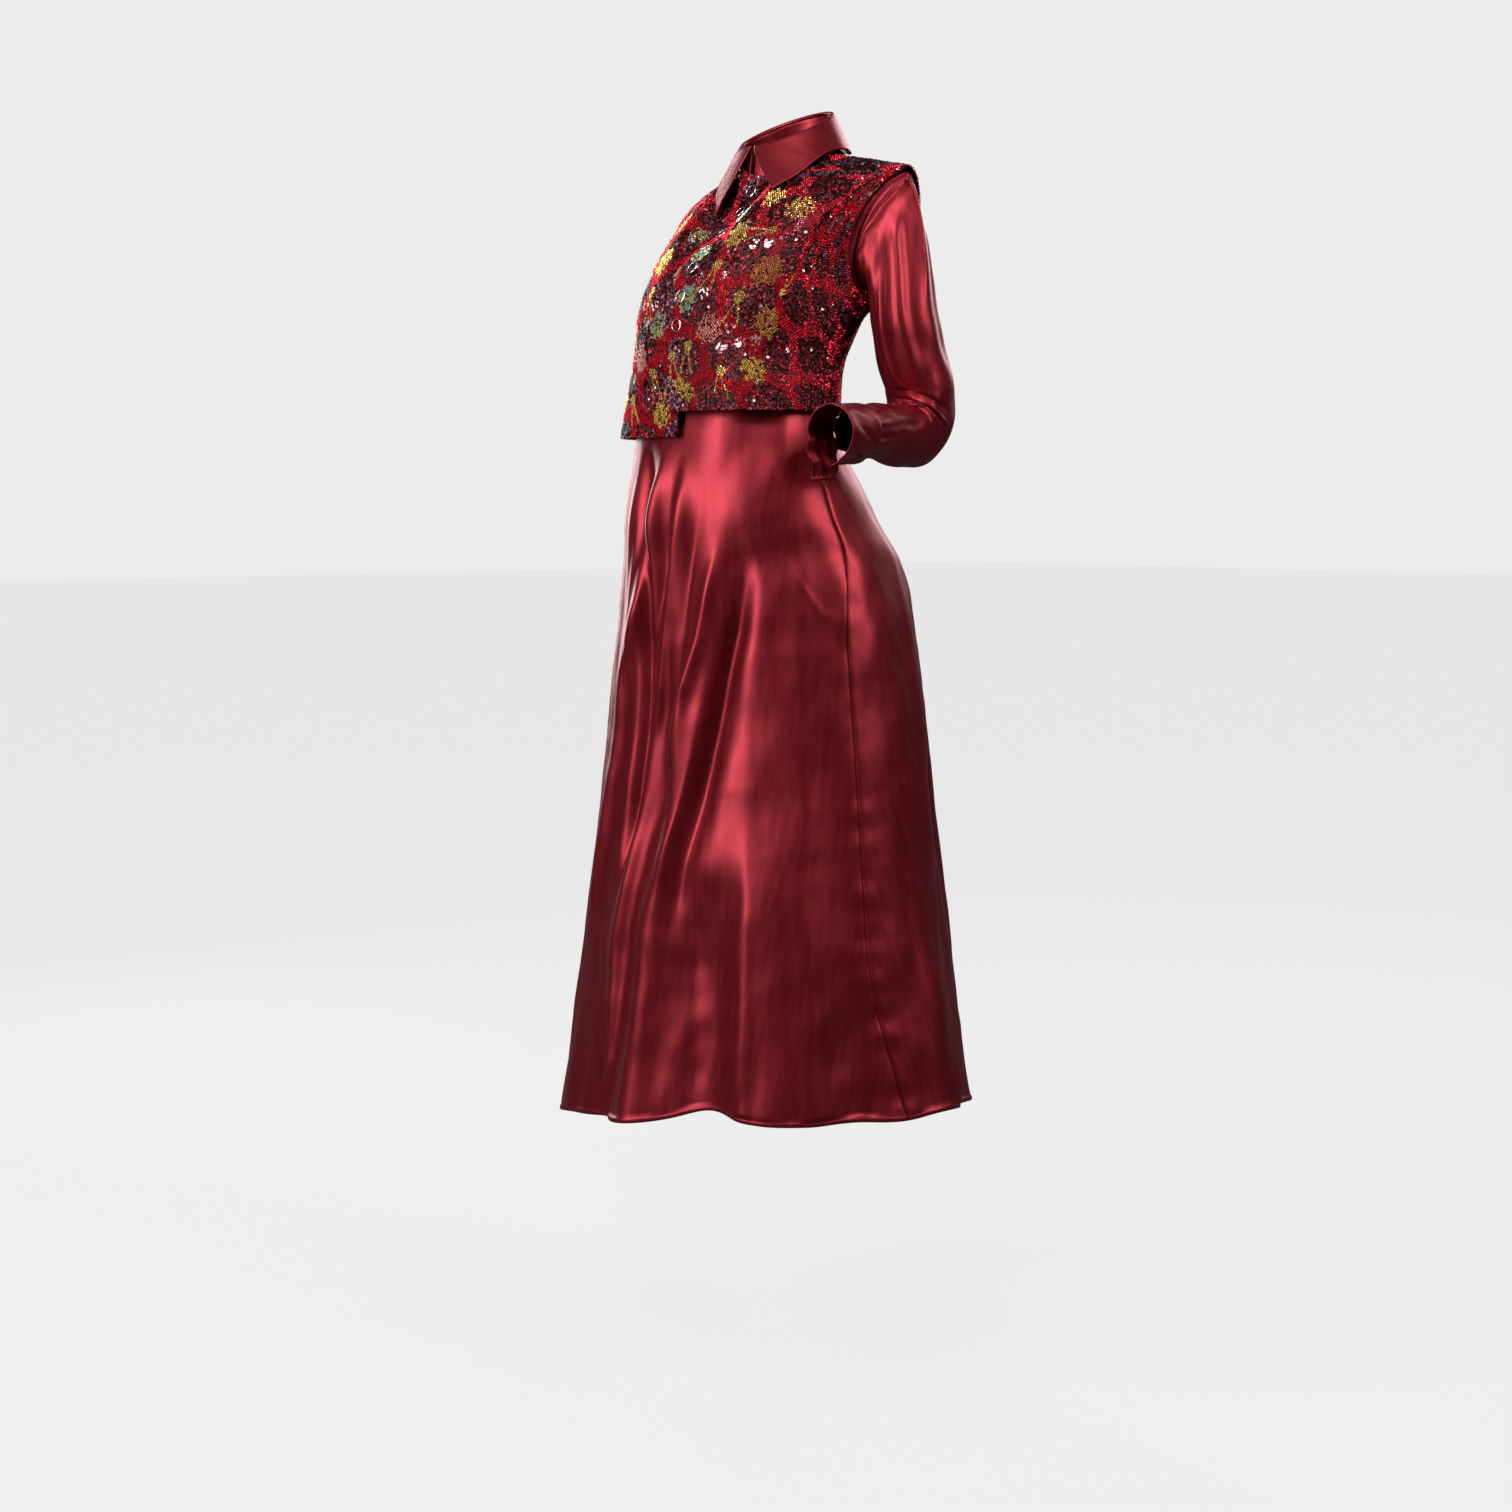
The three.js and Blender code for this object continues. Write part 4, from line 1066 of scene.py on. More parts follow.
left_line = arm_line(LEFT_ARM)
right_line = arm_line(RIGHT_ARM)
SLEEVE_SEAM_TOP = 180.0
SLEEVE_SEAM_CUFF = 262.0
SLEEVE_LENGTH = 430.0
MM_PER_DEGREE = 4.4 / 6.2
HEAD_SWELL = 9.5
CAP_BLEND = 0.11


def cap_point(arm, degrees, t):
    back = degrees > 180
    way = np.where(back, (360 - degrees) / 180, degrees / 180)
    part = 2 / 3 + np.minimum(way, 1) / 3
    one = np.ones_like(part)
    start = np.where(back[..., None], bodice_point(1, part, one, True), bodice_point(1, part, one, False))
    underarm = smooth((way - 0.45) / 0.55)
    start[..., 0] += mix(0.6, 1.8, smooth(way * 4))
    start[..., 2] += 2.2 * underarm
    reach = mix(34, 17, underarm)
    away = start + point(reach, 0 * reach, mix(-3, 6, underarm))
    end = arm(0 * degrees, degrees)
    t = t[..., None]
    r = 1 - t
    return start * r * r + away * 2 * r * t + end * t * t


def sleeve_grid(arm, across, rows):
    s, t = grid_shares(across, rows)
    slit = smooth((t - 0.86) / 0.14) * 4
    seam = mix(SLEEVE_SEAM_TOP, SLEEVE_SEAM_CUFF, smooth((t - 0.3) / 0.7))
    degrees = mix(seam - 360 + slit, seam - slit, s)
    turned = (degrees + 360) % 360
    share = CUFF_START * np.maximum(t - CAP_SHARE, 0) / (1 - CAP_SHARE)
    gather = 1.2 * smooth((t - 0.9) / 0.1) * np.sin(np.radians(degrees * 7))
    below = arm(share, turned, gather)
    cap = cap_point(arm, turned, clamp01(t / CAP_SHARE))
    return np.where((t < CAP_SHARE)[..., None], cap, below), degrees, t


# Creases of the sleeves by degrees round the arm and share down it (0 outer side, 90 crook,
# 270 elbow side): start, end, width in millimetres, depth
LEFT_SLEEVE_CREASES = [
    ((20, 0.06), (8, 0.48), 10, 1.9),
    ((40, 0.08), (32, 0.52), 8, -2.2),
    ((60, 0.08), (52, 0.56), 8, 2.2),
    ((-14, 0.08), (-24, 0.44), 10, -1.5),
    ((-42, 0.08), (-40, 0.5), 10, 1.6),
    ((80, 0.16), (70, 0.54), 6, -2.2),
    ((108, 0.2), (96, 0.56), 6, 2.0),
    ((60, 0.54), (-30, 0.60), 4.2, 3.4),
    ((72, 0.57), (-36, 0.645), 3.6, -3.2),
    ((82, 0.585), (-30, 0.672), 4.2, 3.2),
    ((90, 0.61), (-20, 0.70), 3.6, -2.8),
    ((96, 0.625), (-10, 0.725), 4.6, 2.4),
    ((120, 0.56), (60, 0.62), 5, 2.4),
    ((10, 0.74), (0, 0.97), 6, 1.4),
    ((40, 0.78), (46, 0.98), 5, -1.4),
    ((-40, 0.72), (-50, 0.96), 7, 1.5),
]
RIGHT_SLEEVE_CREASES = [
    ((10, 0.03), (2, 0.56), 7, 2.0),
    ((34, 0.05), (28, 0.5), 6, -2.2),
    ((-24, 0.04), (-30, 0.6), 7, 1.8),
    ((-60, 0.1), (-50, 0.5), 7, -1.8),
    ((90, 0.5), (10, 0.58), 5, 2.4),
    ((100, 0.56), (20, 0.64), 5, -2.2),
    ((96, 0.62), (24, 0.7), 5, 2.0),
    ((0, 0.72), (-8, 0.97), 6, 1.4),
    ((50, 0.74), (56, 0.97), 5, -1.3),
]


def softened(grid, shares, middle, reach):
    """The grid with its rows near one share blended into their neighbours."""
    rows = 11
    kernel = np.exp(-(np.arange(-rows, rows + 1) / (rows * 0.5)) ** 2)
    kernel = kernel / kernel.sum()
    padded = np.concatenate([grid[:, :1]] * rows + [grid] + [grid[:, -1:]] * rows, axis=1)
    blended = sum(weight * padded[:, i:i + grid.shape[1]] for i, weight in enumerate(kernel))
    near = smooth(1.4 - np.abs(shares - middle) / reach)[..., None]
    return mix(grid, blended, near)


def sleeve(name, arm, mirrored, creases, seed):
    grid, degrees, t = sleeve_grid(arm, 130, 140)
    grid = softened(grid, t, CAP_SHARE, CAP_BLEND)
    u = degrees * MM_PER_DEGREE
    v = t * SLEEVE_LENGTH
    relief = ripples(u, v, 48, 0.5, seed, 1.6) * smooth(t / 0.04)
    for start, end, width, depth in creases:
        for turn in (-360, 0, 360):
            first = ((start[0] + turn) * MM_PER_DEGREE, start[1] * SLEEVE_LENGTH)
            last = ((end[0] + turn) * MM_PER_DEGREE, end[1] * SLEEVE_LENGTH)
            relief = relief + crease(u, v, first, last, width, depth, 1.2)
    outer_side = smooth(0.5 + 0.6 * np.cos(np.radians(degrees + 10)))
    relief += HEAD_SWELL * outer_side * smooth(t / 0.015) * (1 - smooth((t - 0.2) / 0.4))
    relief += 0.5 * np.exp(-((v - 10) / 8) ** 2) * np.sin(np.radians(degrees * 11))
    relief += seam_dip(v) * 0.6
    gathers = smooth((t - 0.88) / 0.12) * (0.5 + 0.9 * np.sin(np.radians(degrees * 16)))
    relief += gathers * 0.8
    if mirrored:
        grid = flip(grid)
    side = 1 if mirrored else -1
    piece, _, _ = cloth(name, grid, side, SATIN_CLOTH, relief=relief)
    hold(piece, "satin", name)


# Cuffs: the left one is unbuttoned, its near end turned out and its far end hanging

CUFF_THICKNESS = 1.5
CUFF_GAP_SHARE = 0.0009
CUFF_STITCH_INSET = 3.5


def cuffs():
    s, t = grid_shares(150, 34)
    degrees = mix(-92, 236, s)
    near_end = smooth((0.1 - s) / 0.1)
    far_end = clamp01((s - 0.86) / 0.14)
    share = mix(CUFF_START + CUFF_GAP_SHARE, 1, 0.5 + (t - 0.5) * (1 - 0.45 * smooth(far_end)))
    held = np.minimum(degrees, 214)
    band = left_line(share, (held + 360) % 360, 1.4 + 5 * near_end)
    band[..., 2] -= 34 * far_end * mix(0.55, 1, far_end)
    band[..., 0] += 5 * far_end * np.sin(math.pi * t) + 3 * far_end
    band[..., 1] -= 8 * far_end * t
    u, v = lengths(band)
    relief = ripples(u, v, 26, 0.5, 31) * smooth(v / 5)
    relief += crease(u, v, (12, 4), (34, 52), 4, -1.6) + crease(u, v, (30, 2), (58, 54), 4, 1.3)
    relief += crease(u, v, (96, 6), (104, 54), 5, 1.0)
    slack = smooth((s - 0.8) / 0.1)
    relief += slack * (3.0 * np.sin(t * 15 + 9 * s) + 2.0 * np.sin(u / 4.2 + 3 * t))
    relief += edge_stitch_dip(u, v, CUFF_STITCH_INSET)
    piece, outer, _ = cloth("cuff_left", band, -1, SATIN_CLOTH, CUFF_THICKNESS, 0.1, relief)
    hold(piece, "satin", "cuff_left")
    stitches = stitch_row("cuff_left_stitches", edge_lines(outer, u, v, CUFF_STITCH_INSET))

    s, t = grid_shares(110, 30)
    degrees = mix(SLEEVE_SEAM_CUFF - 359.2, SLEEVE_SEAM_CUFF, s)
    closed = flip(right_line(mix(CUFF_START + CUFF_GAP_SHARE, 1, t), (degrees + 360) % 360, 1.4))
    u, v = lengths(closed)
    relief = ripples(u, v, 30, 0.35, 32) + edge_stitch_dip(u, v, CUFF_STITCH_INSET)
    piece, outer, _ = cloth("cuff_right", closed, 1, SATIN_CLOTH, CUFF_THICKNESS, 0.1, relief)
    hold(piece, "satin", "cuff_right")
    stitches = stitch_row("cuff_right_stitches", edge_lines(outer, u, v, CUFF_STITCH_INSET))


def edge_lines(outer, u, v, inset):
    """The line of edge stitching round a piece, a little inside its edges."""
    down = v[v.shape[0] // 2]
    along = u[:, u.shape[1] // 2]
    near = np.searchsorted(down, inset)
    far = np.searchsorted(down, down[-1] - inset) - 1
    first = np.searchsorted(along, inset)
    last = np.searchsorted(along, along[-1] - inset) - 1
    return [outer[first:last, far], outer[first, near:far], outer[last, near:far]]


def edge_stitch_dip(u, v, inset):
    """The line that edge stitching presses into a cuff or a collar."""
    edge = np.minimum(np.minimum(u, u[-1] - u), np.minimum(v, v[:, -1:] - v))
    return -0.35 * np.exp(-((edge - inset) / 0.9) ** 2) + 0.25 * np.exp(-((edge - inset / 2) / 1.2) ** 2)


# Collar

LEAF_EDGE = table(("x", "y", "height"), [
    (64, -82, 1403),
    (75, -50, 1423),
    (79, -13, 1448),
    (74, 18, 1455),
    (50, 48, 1454),
    (0, 65, 1463),
    (-50, 48, 1454),
    (-74, 18, 1455),
    (-76, -14, 1449),
    (-54, -62, 1421),
    (-23, -94, 1381),
])
LEAF_RISE = 2.2
LEAF_THICKNESS = 1.4
LEAF_STITCH_INSET = 4
ROLLED_SHARE = 0.18


def stand_point(degrees, rise):
    back = (degrees > 90) & (degrees < 270)
    from_front = np.where(degrees < 180, degrees, 360 - degrees)
    part = np.where(back, 180 - from_front, from_front) / 270
    one = np.ones_like(part)
    front_foot = bodice_point(1, part, one, False)
    back_foot = bodice_point(1, part, one, True)
    foot = np.where(back[..., None], back_foot, front_foot)
    foot[..., 0] = np.where(degrees < 180, foot[..., 0], -foot[..., 0])
    lean = 5 * rise
    turn = np.radians(degrees)
    return foot + point(-lean * np.sin(turn), lean * np.cos(turn) * 0.8, STAND_LIFT + STAND_HEIGHT * rise)


def collar():
    s, t = grid_shares(150, 24)
    degrees = mix(COLLAR_OPENING, 360 - COLLAR_OPENING, s)
    stand = stand_point(degrees, t)
    u, v = lengths(stand)
    piece, _, _ = cloth("collar_stand", stand, 1, SATIN_CLOTH, 1.3, 0.15, edge_stitch_dip(u, v, 2.5))
    hold(piece, "satin", "collar_stand")

    s, t = grid_shares(190, 60)
    degrees = mix(COLLAR_OPENING, 360 - COLLAR_OPENING, s)
    turn = np.radians(degrees)
    out = point(np.sin(turn), -np.cos(turn), 0 * turn)
    top = stand_point(degrees, np.ones_like(degrees)) + np.array([0, 0, 0.6])
    crest = top + out * 2.6 + np.array([0, 0, LEAF_RISE])
    edge_points = np.array([place(r["x"], r["y"], r["height"]) for r in LEAF_EDGE])
    end = centripetal(edge_points, s)
    roll = clamp01(t / ROLLED_SHARE)
    rising = top + (crest - top) * roll[..., None] + point(0, 0, 0.8 * np.sin(math.pi * roll))
    r = clamp01((t - ROLLED_SHARE) / (1 - ROLLED_SHARE))[..., None]
    control = crest + out * 5 + np.array([0, 0, -8.0])
    falling = crest * (1 - r) ** 2 + control * 2 * r * (1 - r) + end * r * r
    leaf = np.where((t < ROLLED_SHARE)[..., None], rising, falling)
    u, v = lengths(leaf)
    relief = ripples(u, v, 60, 0.35, 41) * smooth(v / 10) + edge_stitch_dip(u, v, LEAF_STITCH_INSET)
    piece, outer, _ = cloth("collar_leaf", leaf, -1, SATIN_CLOTH, LEAF_THICKNESS, 0.1, relief)
    hold(piece, "satin", "collar_leaf")
    stitches = stitch_row("collar_leaf_stitches", edge_lines(outer, u, v, LEAF_STITCH_INSET))


# Vest: a thin ground cloth, and the sequins and beads sewn over it

def vest_grids(across, rows):
    s, t = grid_shares(across, rows)
    left = vest_front_point(1, s, t)
    right = vest_front_point(-1, s, t)
    under = 1 - smooth((vest_part(s) - 0.08) / 0.09)
    depth = mix(UNDER_DEPTH, UNDER_DEPTH_AT_NECK, smooth((t - 0.8) / 0.15))
    right = right - grid_normals(right, -1) * (depth * under)[..., None]
    s, t = grid_shares(2 * across, rows)
    back_left = vest_back_point(1, np.abs(1 - 2 * s), t)
    back_right = vest_back_point(-1, np.abs(2 * s - 1), t)
    back = np.where((s < 0.5)[..., None], back_left, back_right)
    return {"vest_front_left": (left, 1), "vest_front_right": (right, -1), "vest_back": (back, 1)}


# Colours of the vest as display values
DEEP_WINE = (78, 8, 18)
NEAR_BLACK = (36, 6, 12)
MIDDLE_RED = (150, 20, 36)
BRIGHT_RED = (218, 34, 58)
LIT_RED = (226, 60, 74)
# Near white: painted glints, lamp highlights painted on single sequins
PAINTED_GLINT = (255, 190, 196)
PALE_PINK = (240, 176, 178)
# Grey plum: a colour of the shoulder bands, and near the front and top edges a painted reflection of the
# pale backdrop
GREY_PLUM = (112, 76, 90)
GOLD = (248, 214, 122)
OLIVE_GOLD = (204, 166, 84)
BRONZE = (218, 152, 102)
# Teal: an iridescent sequin colour, near the front edge partly a painted sheen of a grazing view
TEAL = (150, 212, 198)

# Round flowers and small discs with two stems, on each front, by their places as
# millimetres from the centre edge and above the hem. The teal flowers sit near the centre edge, where
# iridescent sequins look teal at a grazing view: their teal there is partly a painted sheen, on sequins that
# are teal and gold.
FRONT_FLOWERS = table(("u", "v", "radius", "kind"), [
    (30, 26, 15, "gold"),
    (72, 92, 17, "pink"),
    (126, 44, 15, "gold"),
    (34, 128, 15, "teal"),
    (72, 206, 18, "gold"),
    (128, 158, 18, "bronze"),
    (142, 98, 18, "bronze"),
    (20, 188, 13, "teal"),
    (100, 262, 15, "gold"),
    (140, 244, 17, "gold"),
    (44, 250, 12, "teal"),
])
FRONT_DISCS = table(("u", "v", "radius", "turn"), [
    (62, 166, 7, 262),
    (106, 126, 7, 255),
    (44, 74, 6, 262),
    (88, 44, 6, 250),
    (158, 132, 6, 60),
    (118, 210, 5, 190),
    (18, 66, 5, 272),
])
# Places round which front sequins are painted near white, as painted glints of the lamps
PAINTED_GLINT_SPOTS = [(80, 152), (58, 132), (98, 92), (112, 76), (128, 78), (90, 70), (134, 200), (120, 192),
               (142, 212), (150, 224), (104, 190), (84, 216), (46, 150)]
BACK_FLOWERS = table(("u", "v", "radius", "kind"), [
    (44, 60, 17, "gold"),
    (104, 36, 16, "bronze"),
    (172, 74, 18, "gold"),
    (238, 40, 16, "teal"),
    (300, 70, 17, "bronze"),
    (78, 132, 17, "pink"),
    (140, 150, 17, "gold"),
    (206, 136, 17, "bronze"),
    (268, 144, 18, "gold"),
    (110, 214, 17, "gold"),
    (176, 210, 18, "bronze"),
    (236, 218, 17, "gold"),
    (150, 272, 15, "teal"),
    (206, 276, 15, "gold"),
])
BACK_DISCS = table(("u", "v", "radius", "turn"), [
    (72, 88, 7, 250), (136, 98, 7, 280), (204, 90, 7, 250), (270, 96, 6, 270),
    (108, 176, 6, 240), (172, 172, 7, 262), (240, 178, 6, 300), (142, 238, 6, 250), (208, 244, 6, 270)])
# Places round which back sequins are painted near white, as painted glints of the lamps
BACK_PAINTED_GLINTS = [(90, 110), (188, 120), (252, 196), (126, 190), (160, 236), (222, 70)]
VEIN_WIDTH = 13.0
CELL_SPACING = 62.0
TRIM_SPACING = 2.7
SEQUIN_RADIUS = 1.8
BEAD_RADIUS = 1.15
BEAD_HEIGHT = 1.1
SEQUIN_CUP = -0.35
STEM_LENGTH = 34
STEM_HALF_WIDTH = 1.35
STEM_SPREAD = 16
# How far a painted glint spreads round its place
PAINTED_GLINT_REACH = 6.5
VEST_CLOTH = 1.0
VEST_CLOTH_LIFT = 0.3
FAR_AWAY = 1e3


def cell_gap(u, v, seed):
    """How far a place is from the border between two cells: near 0 on the veins."""
    cells = np.random.default_rng(seed)
    columns = 9
    rows = 8
    best = np.full(u.shape, 1e9)
    second = np.full(u.shape, 1e9)
    for i in range(-1, columns):
        for j in range(-1, rows):
            cu = (i + 0.5 * (j % 2) + cells.uniform(-0.24, 0.24)) * CELL_SPACING
            cv = (j * 0.92 + cells.uniform(-0.24, 0.24)) * CELL_SPACING
            distance = np.hypot(u - cu, (v - cv) * 0.85)
            second = np.minimum(second, np.maximum(best, distance))
            best = np.minimum(best, distance)
    return second - best


def scatter(grid, spacing, seed):
    """Places on a grid at an even spacing, in rows with every other one shifted.

    Each place is a column and a row of the grid, with fractions.
    """
    scatter_rng = np.random.default_rng(seed)
    u, v = lengths(grid)
    longest = v[:, -1].max()
    row_count = int(longest / (spacing * 0.87))
    places = []
    row_places = np.linspace(0.004, 0.996, row_count) * (grid.shape[1] - 1)
    for number, row in enumerate(row_places):
        j = int(row)
        line_u = mix(u[:, j], u[:, min(j + 1, grid.shape[1] - 1)], row - j)
        total = line_u[-1]
        starts = np.arange(spacing * (0.4 + 0.5 * (number % 2)), total - spacing * 0.3, spacing)
        starts = starts + scatter_rng.uniform(-0.16, 0.16, len(starts)) * spacing
        i = np.interp(starts, line_u, np.arange(len(line_u)))
        places.append(np.stack([i, np.full(len(i), row)], axis=1))
    places = np.concatenate(places)
    column_length = v[:, -1][np.clip(np.round(places[:, 0]).astype(int), 0, len(v) - 1)]
    keep = scatter_rng.uniform(0, 1, len(places)) < np.clip(column_length / longest * 1.12, 0, 1)
    return places[keep]


def sample(field, places):
    """A grid's values between its points."""
    i = np.clip(places[:, 0], 0, field.shape[0] - 1.001)
    j = np.clip(places[:, 1], 0, field.shape[1] - 1.001)
    i0, j0 = i.astype(int), j.astype(int)
    di, dj = i - i0, j - j0
    if field.ndim == 3:
        di, dj = di[:, None], dj[:, None]
    low = mix(field[i0, j0], field[i0 + 1, j0], di)
    high = mix(field[i0, j0 + 1], field[i0 + 1, j0 + 1], di)
    return mix(low, high, dj)


BACK_CENTRE = 172.0
SHOULDER_BAND = 25.0
SHOULDER_REACH = 62.0


def paint(u, v, gap, flowers, discs, painted_glints, edge, from_top, seed):
    """The colour and kind (0 sequin, 1 bead) of the trim at each place, with painted glints and a painted
    grey reflection near the edges among the colours.
    """
    paint_rng = np.random.default_rng(seed)
    count = len(u)
    chance = paint_rng.uniform(0, 1, count)
    vein = gap < VEIN_WIDTH
    colour = np.empty((count, 3))
    colour[:] = DEEP_WINE
    colour[chance < 0.4] = NEAR_BLACK
    colour[chance > 0.88] = MIDDLE_RED
    # Painted reflection: dark cell sequins turned grey plum, thinning out from the front and top edges,
    # where the vest turns away and mirrors the pale backdrop
    painted_grey_reflection = (np.exp(-(edge / 30) ** 2) * 0.5 > paint_rng.uniform(0, 1, count)) & ~vein
    colour[painted_grey_reflection] = GREY_PLUM
    colour[vein] = BRIGHT_RED
    colour[vein & (chance < 0.3)] = MIDDLE_RED
    colour[vein & (chance > 0.93)] = LIT_RED
    kind = vein.astype(int)
    band = (from_top < SHOULDER_REACH) & (np.sin((from_top + 0.25 * u) * 2 * math.pi / SHOULDER_BAND) > 0.1)
    colour[band] = NEAR_BLACK
    colour[band & (chance > 0.5)] = GREY_PLUM
    kind[band] = 0
    for row in flowers:
        off_u, off_v = u - row["u"], v - row["v"]
        angle = np.arctan2(off_v, off_u)
        reach = row["radius"] * (1 + 0.14 * np.cos(8 * angle + row["u"]))
        inside = np.hypot(off_u, off_v) < reach
        main, other = {"gold": (GOLD, OLIVE_GOLD), "bronze": (BRONZE, OLIVE_GOLD),
                       "teal": (TEAL, GOLD), "pink": (PALE_PINK, BRONZE)}[row["kind"]]
        colour[inside] = main
        colour[inside & (chance < 0.36)] = other
        colour[inside & (chance > 0.86)] = DEEP_WINE
        kind[inside] = 1
    for row in discs:
        off_u, off_v = u - row["u"], v - row["v"]
        inside = np.hypot(off_u, off_v) < row["radius"]
        for spread_by in (-STEM_SPREAD, STEM_SPREAD):
            turn = math.radians(row["turn"] + spread_by)
            along = off_u * math.cos(turn) + off_v * math.sin(turn)
            aside = np.abs(off_u * math.sin(turn) - off_v * math.cos(turn))
            inside |= (along > 0) & (along < STEM_LENGTH) & (aside < STEM_HALF_WIDTH)
        colour[inside] = GOLD
        colour[inside & (chance < 0.25)] = OLIVE_GOLD
        kind[inside] = 1
    # Painted highlights: near-white sequins round each glint place, and a few scattered anywhere
    for spot_u, spot_v in painted_glints:
        near = np.hypot(u - spot_u, v - spot_v) < PAINTED_GLINT_REACH
        colour[near & (chance > 0.5)] = PAINTED_GLINT
    colour[chance > 0.994] = PAINTED_GLINT
    colour = colour * paint_rng.uniform(0.82, 1.14, (count, 1))
    return np.clip(colour, 0, 255), kind


def trim_mesh(name, points, normals, colour, kind, seed):
    """One mesh of cupped six-sided sequins and eight-faced beads, facing out and tilted a little."""
    tilt_rng = np.random.default_rng(seed)
    count = len(points)
    lean = normalized(tilt_rng.normal(0, 1, (count, 3)))
    tilt = np.where(kind == 1, 0.1, 0.26)[:, None] * tilt_rng.uniform(0.3, 1.0, (count, 1))
    facing = normalized(normals + lean * tilt)
    across = normalized(np.cross(facing, np.array([0.0, 0.0, 1.0]) + 0.01))
    upward = np.cross(facing, across)
    spin = tilt_rng.uniform(0, math.pi / 3, count)
    vertices, faces, colours = [], [], []
    start = 0
    for kind_wanted, corner_count in ((0, 6), (1, 4)):
        pick = np.flatnonzero(kind == kind_wanted)
        if not len(pick):
            continue
        radius = (BEAD_RADIUS if kind_wanted else SEQUIN_RADIUS) * tilt_rng.uniform(0.9, 1.1, len(pick))
        height = BEAD_HEIGHT if kind_wanted else SEQUIN_CUP
        rim = []
        for corner in range(corner_count):
            turn = spin[pick] + corner * 2 * math.pi / corner_count
            rim.append(points[pick] + across[pick] * (np.cos(turn) * radius)[:, None]
                       + upward[pick] * (np.sin(turn) * radius)[:, None])
        middle = points[pick] + facing[pick] * height
        block = np.stack(rim + [middle], axis=1)
        base = start + np.arange(len(pick))[:, None] * (corner_count + 1)
        for corner in range(corner_count):
            faces.append(np.concatenate(
                [base + corner, base + (corner + 1) % corner_count, base + corner_count], axis=1))
        vertices.append(block.reshape(-1, 3))
        colours.append(np.repeat(colour[pick], corner_count + 1, axis=0))
        start += block.shape[0] * block.shape[1]
    piece = new_object(name, np.concatenate(vertices), np.concatenate(faces), SEQUINS, smooth_faces=False)
    linear = (np.concatenate(colours) / 255) ** DISPLAY_GAMMA
    attribute = piece.data.color_attributes.new("sequin_colour", "FLOAT_COLOR", "POINT")
    attribute.data.foreach_set("color", np.concatenate([linear, np.ones((len(linear), 1))], axis=1).ravel())
    return piece


def vest():
    patterns = {
        "vest_front_left": (FRONT_FLOWERS, FRONT_DISCS, PAINTED_GLINT_SPOTS, 51),
        "vest_front_right": (FRONT_FLOWERS, FRONT_DISCS, PAINTED_GLINT_SPOTS, 52),
        "vest_back": (BACK_FLOWERS, BACK_DISCS, BACK_PAINTED_GLINTS, 53),
    }
    for name, (grid, side) in vest_grids(60, 80).items():
        flowers, discs, painted_glints, seed = patterns[name]
        u, v = lengths(grid)
        relief = ripples(u, v, 40, 0.3, seed)
        piece, outer, normals = cloth(name, grid, side, VEST_GROUND, VEST_CLOTH, VEST_CLOTH_LIFT, relief)
        is_back = name == "vest_back"
        if is_back:
            u = u - u[len(u) // 2] + BACK_CENTRE
        places = scatter(outer, TRIM_SPACING, seed)
        flat_u = sample(u, places)
        flat_v = sample(v, places)
        gap = cell_gap(flat_u, flat_v, seed + 10)
        edge = np.full(len(flat_u), FAR_AWAY) if is_back else flat_u
        top_distance = sample(v[:, -1:] - v, places)
        edge = np.minimum(edge, top_distance * 1.2 + 24)
        share = places[:, 0] / (grid.shape[0] - 1)
        share = np.abs(1 - 2 * share) if is_back else share
        by_shoulder = (share > VEST_NECK_AT * 0.6) & (share < VEST_TIP_AT)
        from_seam = np.where(by_shoulder, top_distance, FAR_AWAY)
        colour, kind = paint(flat_u, flat_v, gap, flowers, discs, painted_glints, edge, from_seam, seed + 20)
        points = sample(outer, places)
        facing = normalized(sample(normals, places))
        lift_rng = np.random.default_rng(seed + 30)
        points = points + facing * lift_rng.uniform(0.5, 1.1, (len(points), 1))
        trim = trim_mesh(name + "_trim", points, facing, colour, kind, seed + 40)
        hold(piece, "sequin_cloth", name)
        hold(trim, "sequin_cloth")


# Snaps: open rings on the left front, finer than their solids

SNAP_RADIUS = 7.0
SNAP_WIRE = 0.8
SNAP_COUNT = 7


def snaps():
    for number in range(1, SNAP_COUNT + 1):
        node = f"snap_{number}"
        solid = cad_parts[node]
        places = np.array([v.co for v in solid.data.vertices], float) / MM
        middle = (places.max(axis=0) + places.min(axis=0)) / 2
        spread_out = places - places.mean(axis=0)
        _, _, ways = np.linalg.svd(spread_out, full_matrices=False)
        facing = ways[2]
        if facing @ np.array([0.3, -1.0, 0.2]) < 0:
            facing = -facing
        across = ways[0]
        upward = np.cross(facing, across)
        around, round_wire = 40, 12
        a, b = np.meshgrid(np.arange(around) * 2 * math.pi / around,
                           np.arange(round_wire) * 2 * math.pi / round_wire, indexing="ij")
        wire = SNAP_WIRE * (1 + 0.12 * np.cos(3 * b))
        reach = SNAP_RADIUS + wire * np.cos(b)
        points = (middle + across * (np.cos(a) * reach)[..., None] + upward * (np.sin(a) * reach)[..., None]
                  + facing * (wire * np.sin(b))[..., None])
        i, j = np.meshgrid(np.arange(around), np.arange(round_wire), indexing="ij")
        first = i * round_wire + j
        second = ((i + 1) % around) * round_wire + j
        third = ((i + 1) % around) * round_wire + (j + 1) % round_wire
        fourth = i * round_wire + (j + 1) % round_wire
        faces = np.stack([first, second, third, fourth], axis=-1).reshape(-1, 4)
        ring = new_object(node, points.reshape(-1, 3), faces, RING_METAL)
        hold(ring, "silver", node)


# Camera, lights and floor

def look_at(obj, target):
    way = Vector(target) - obj.location
    obj.rotation_euler = way.to_track_quat("-Z", "Y").to_euler()


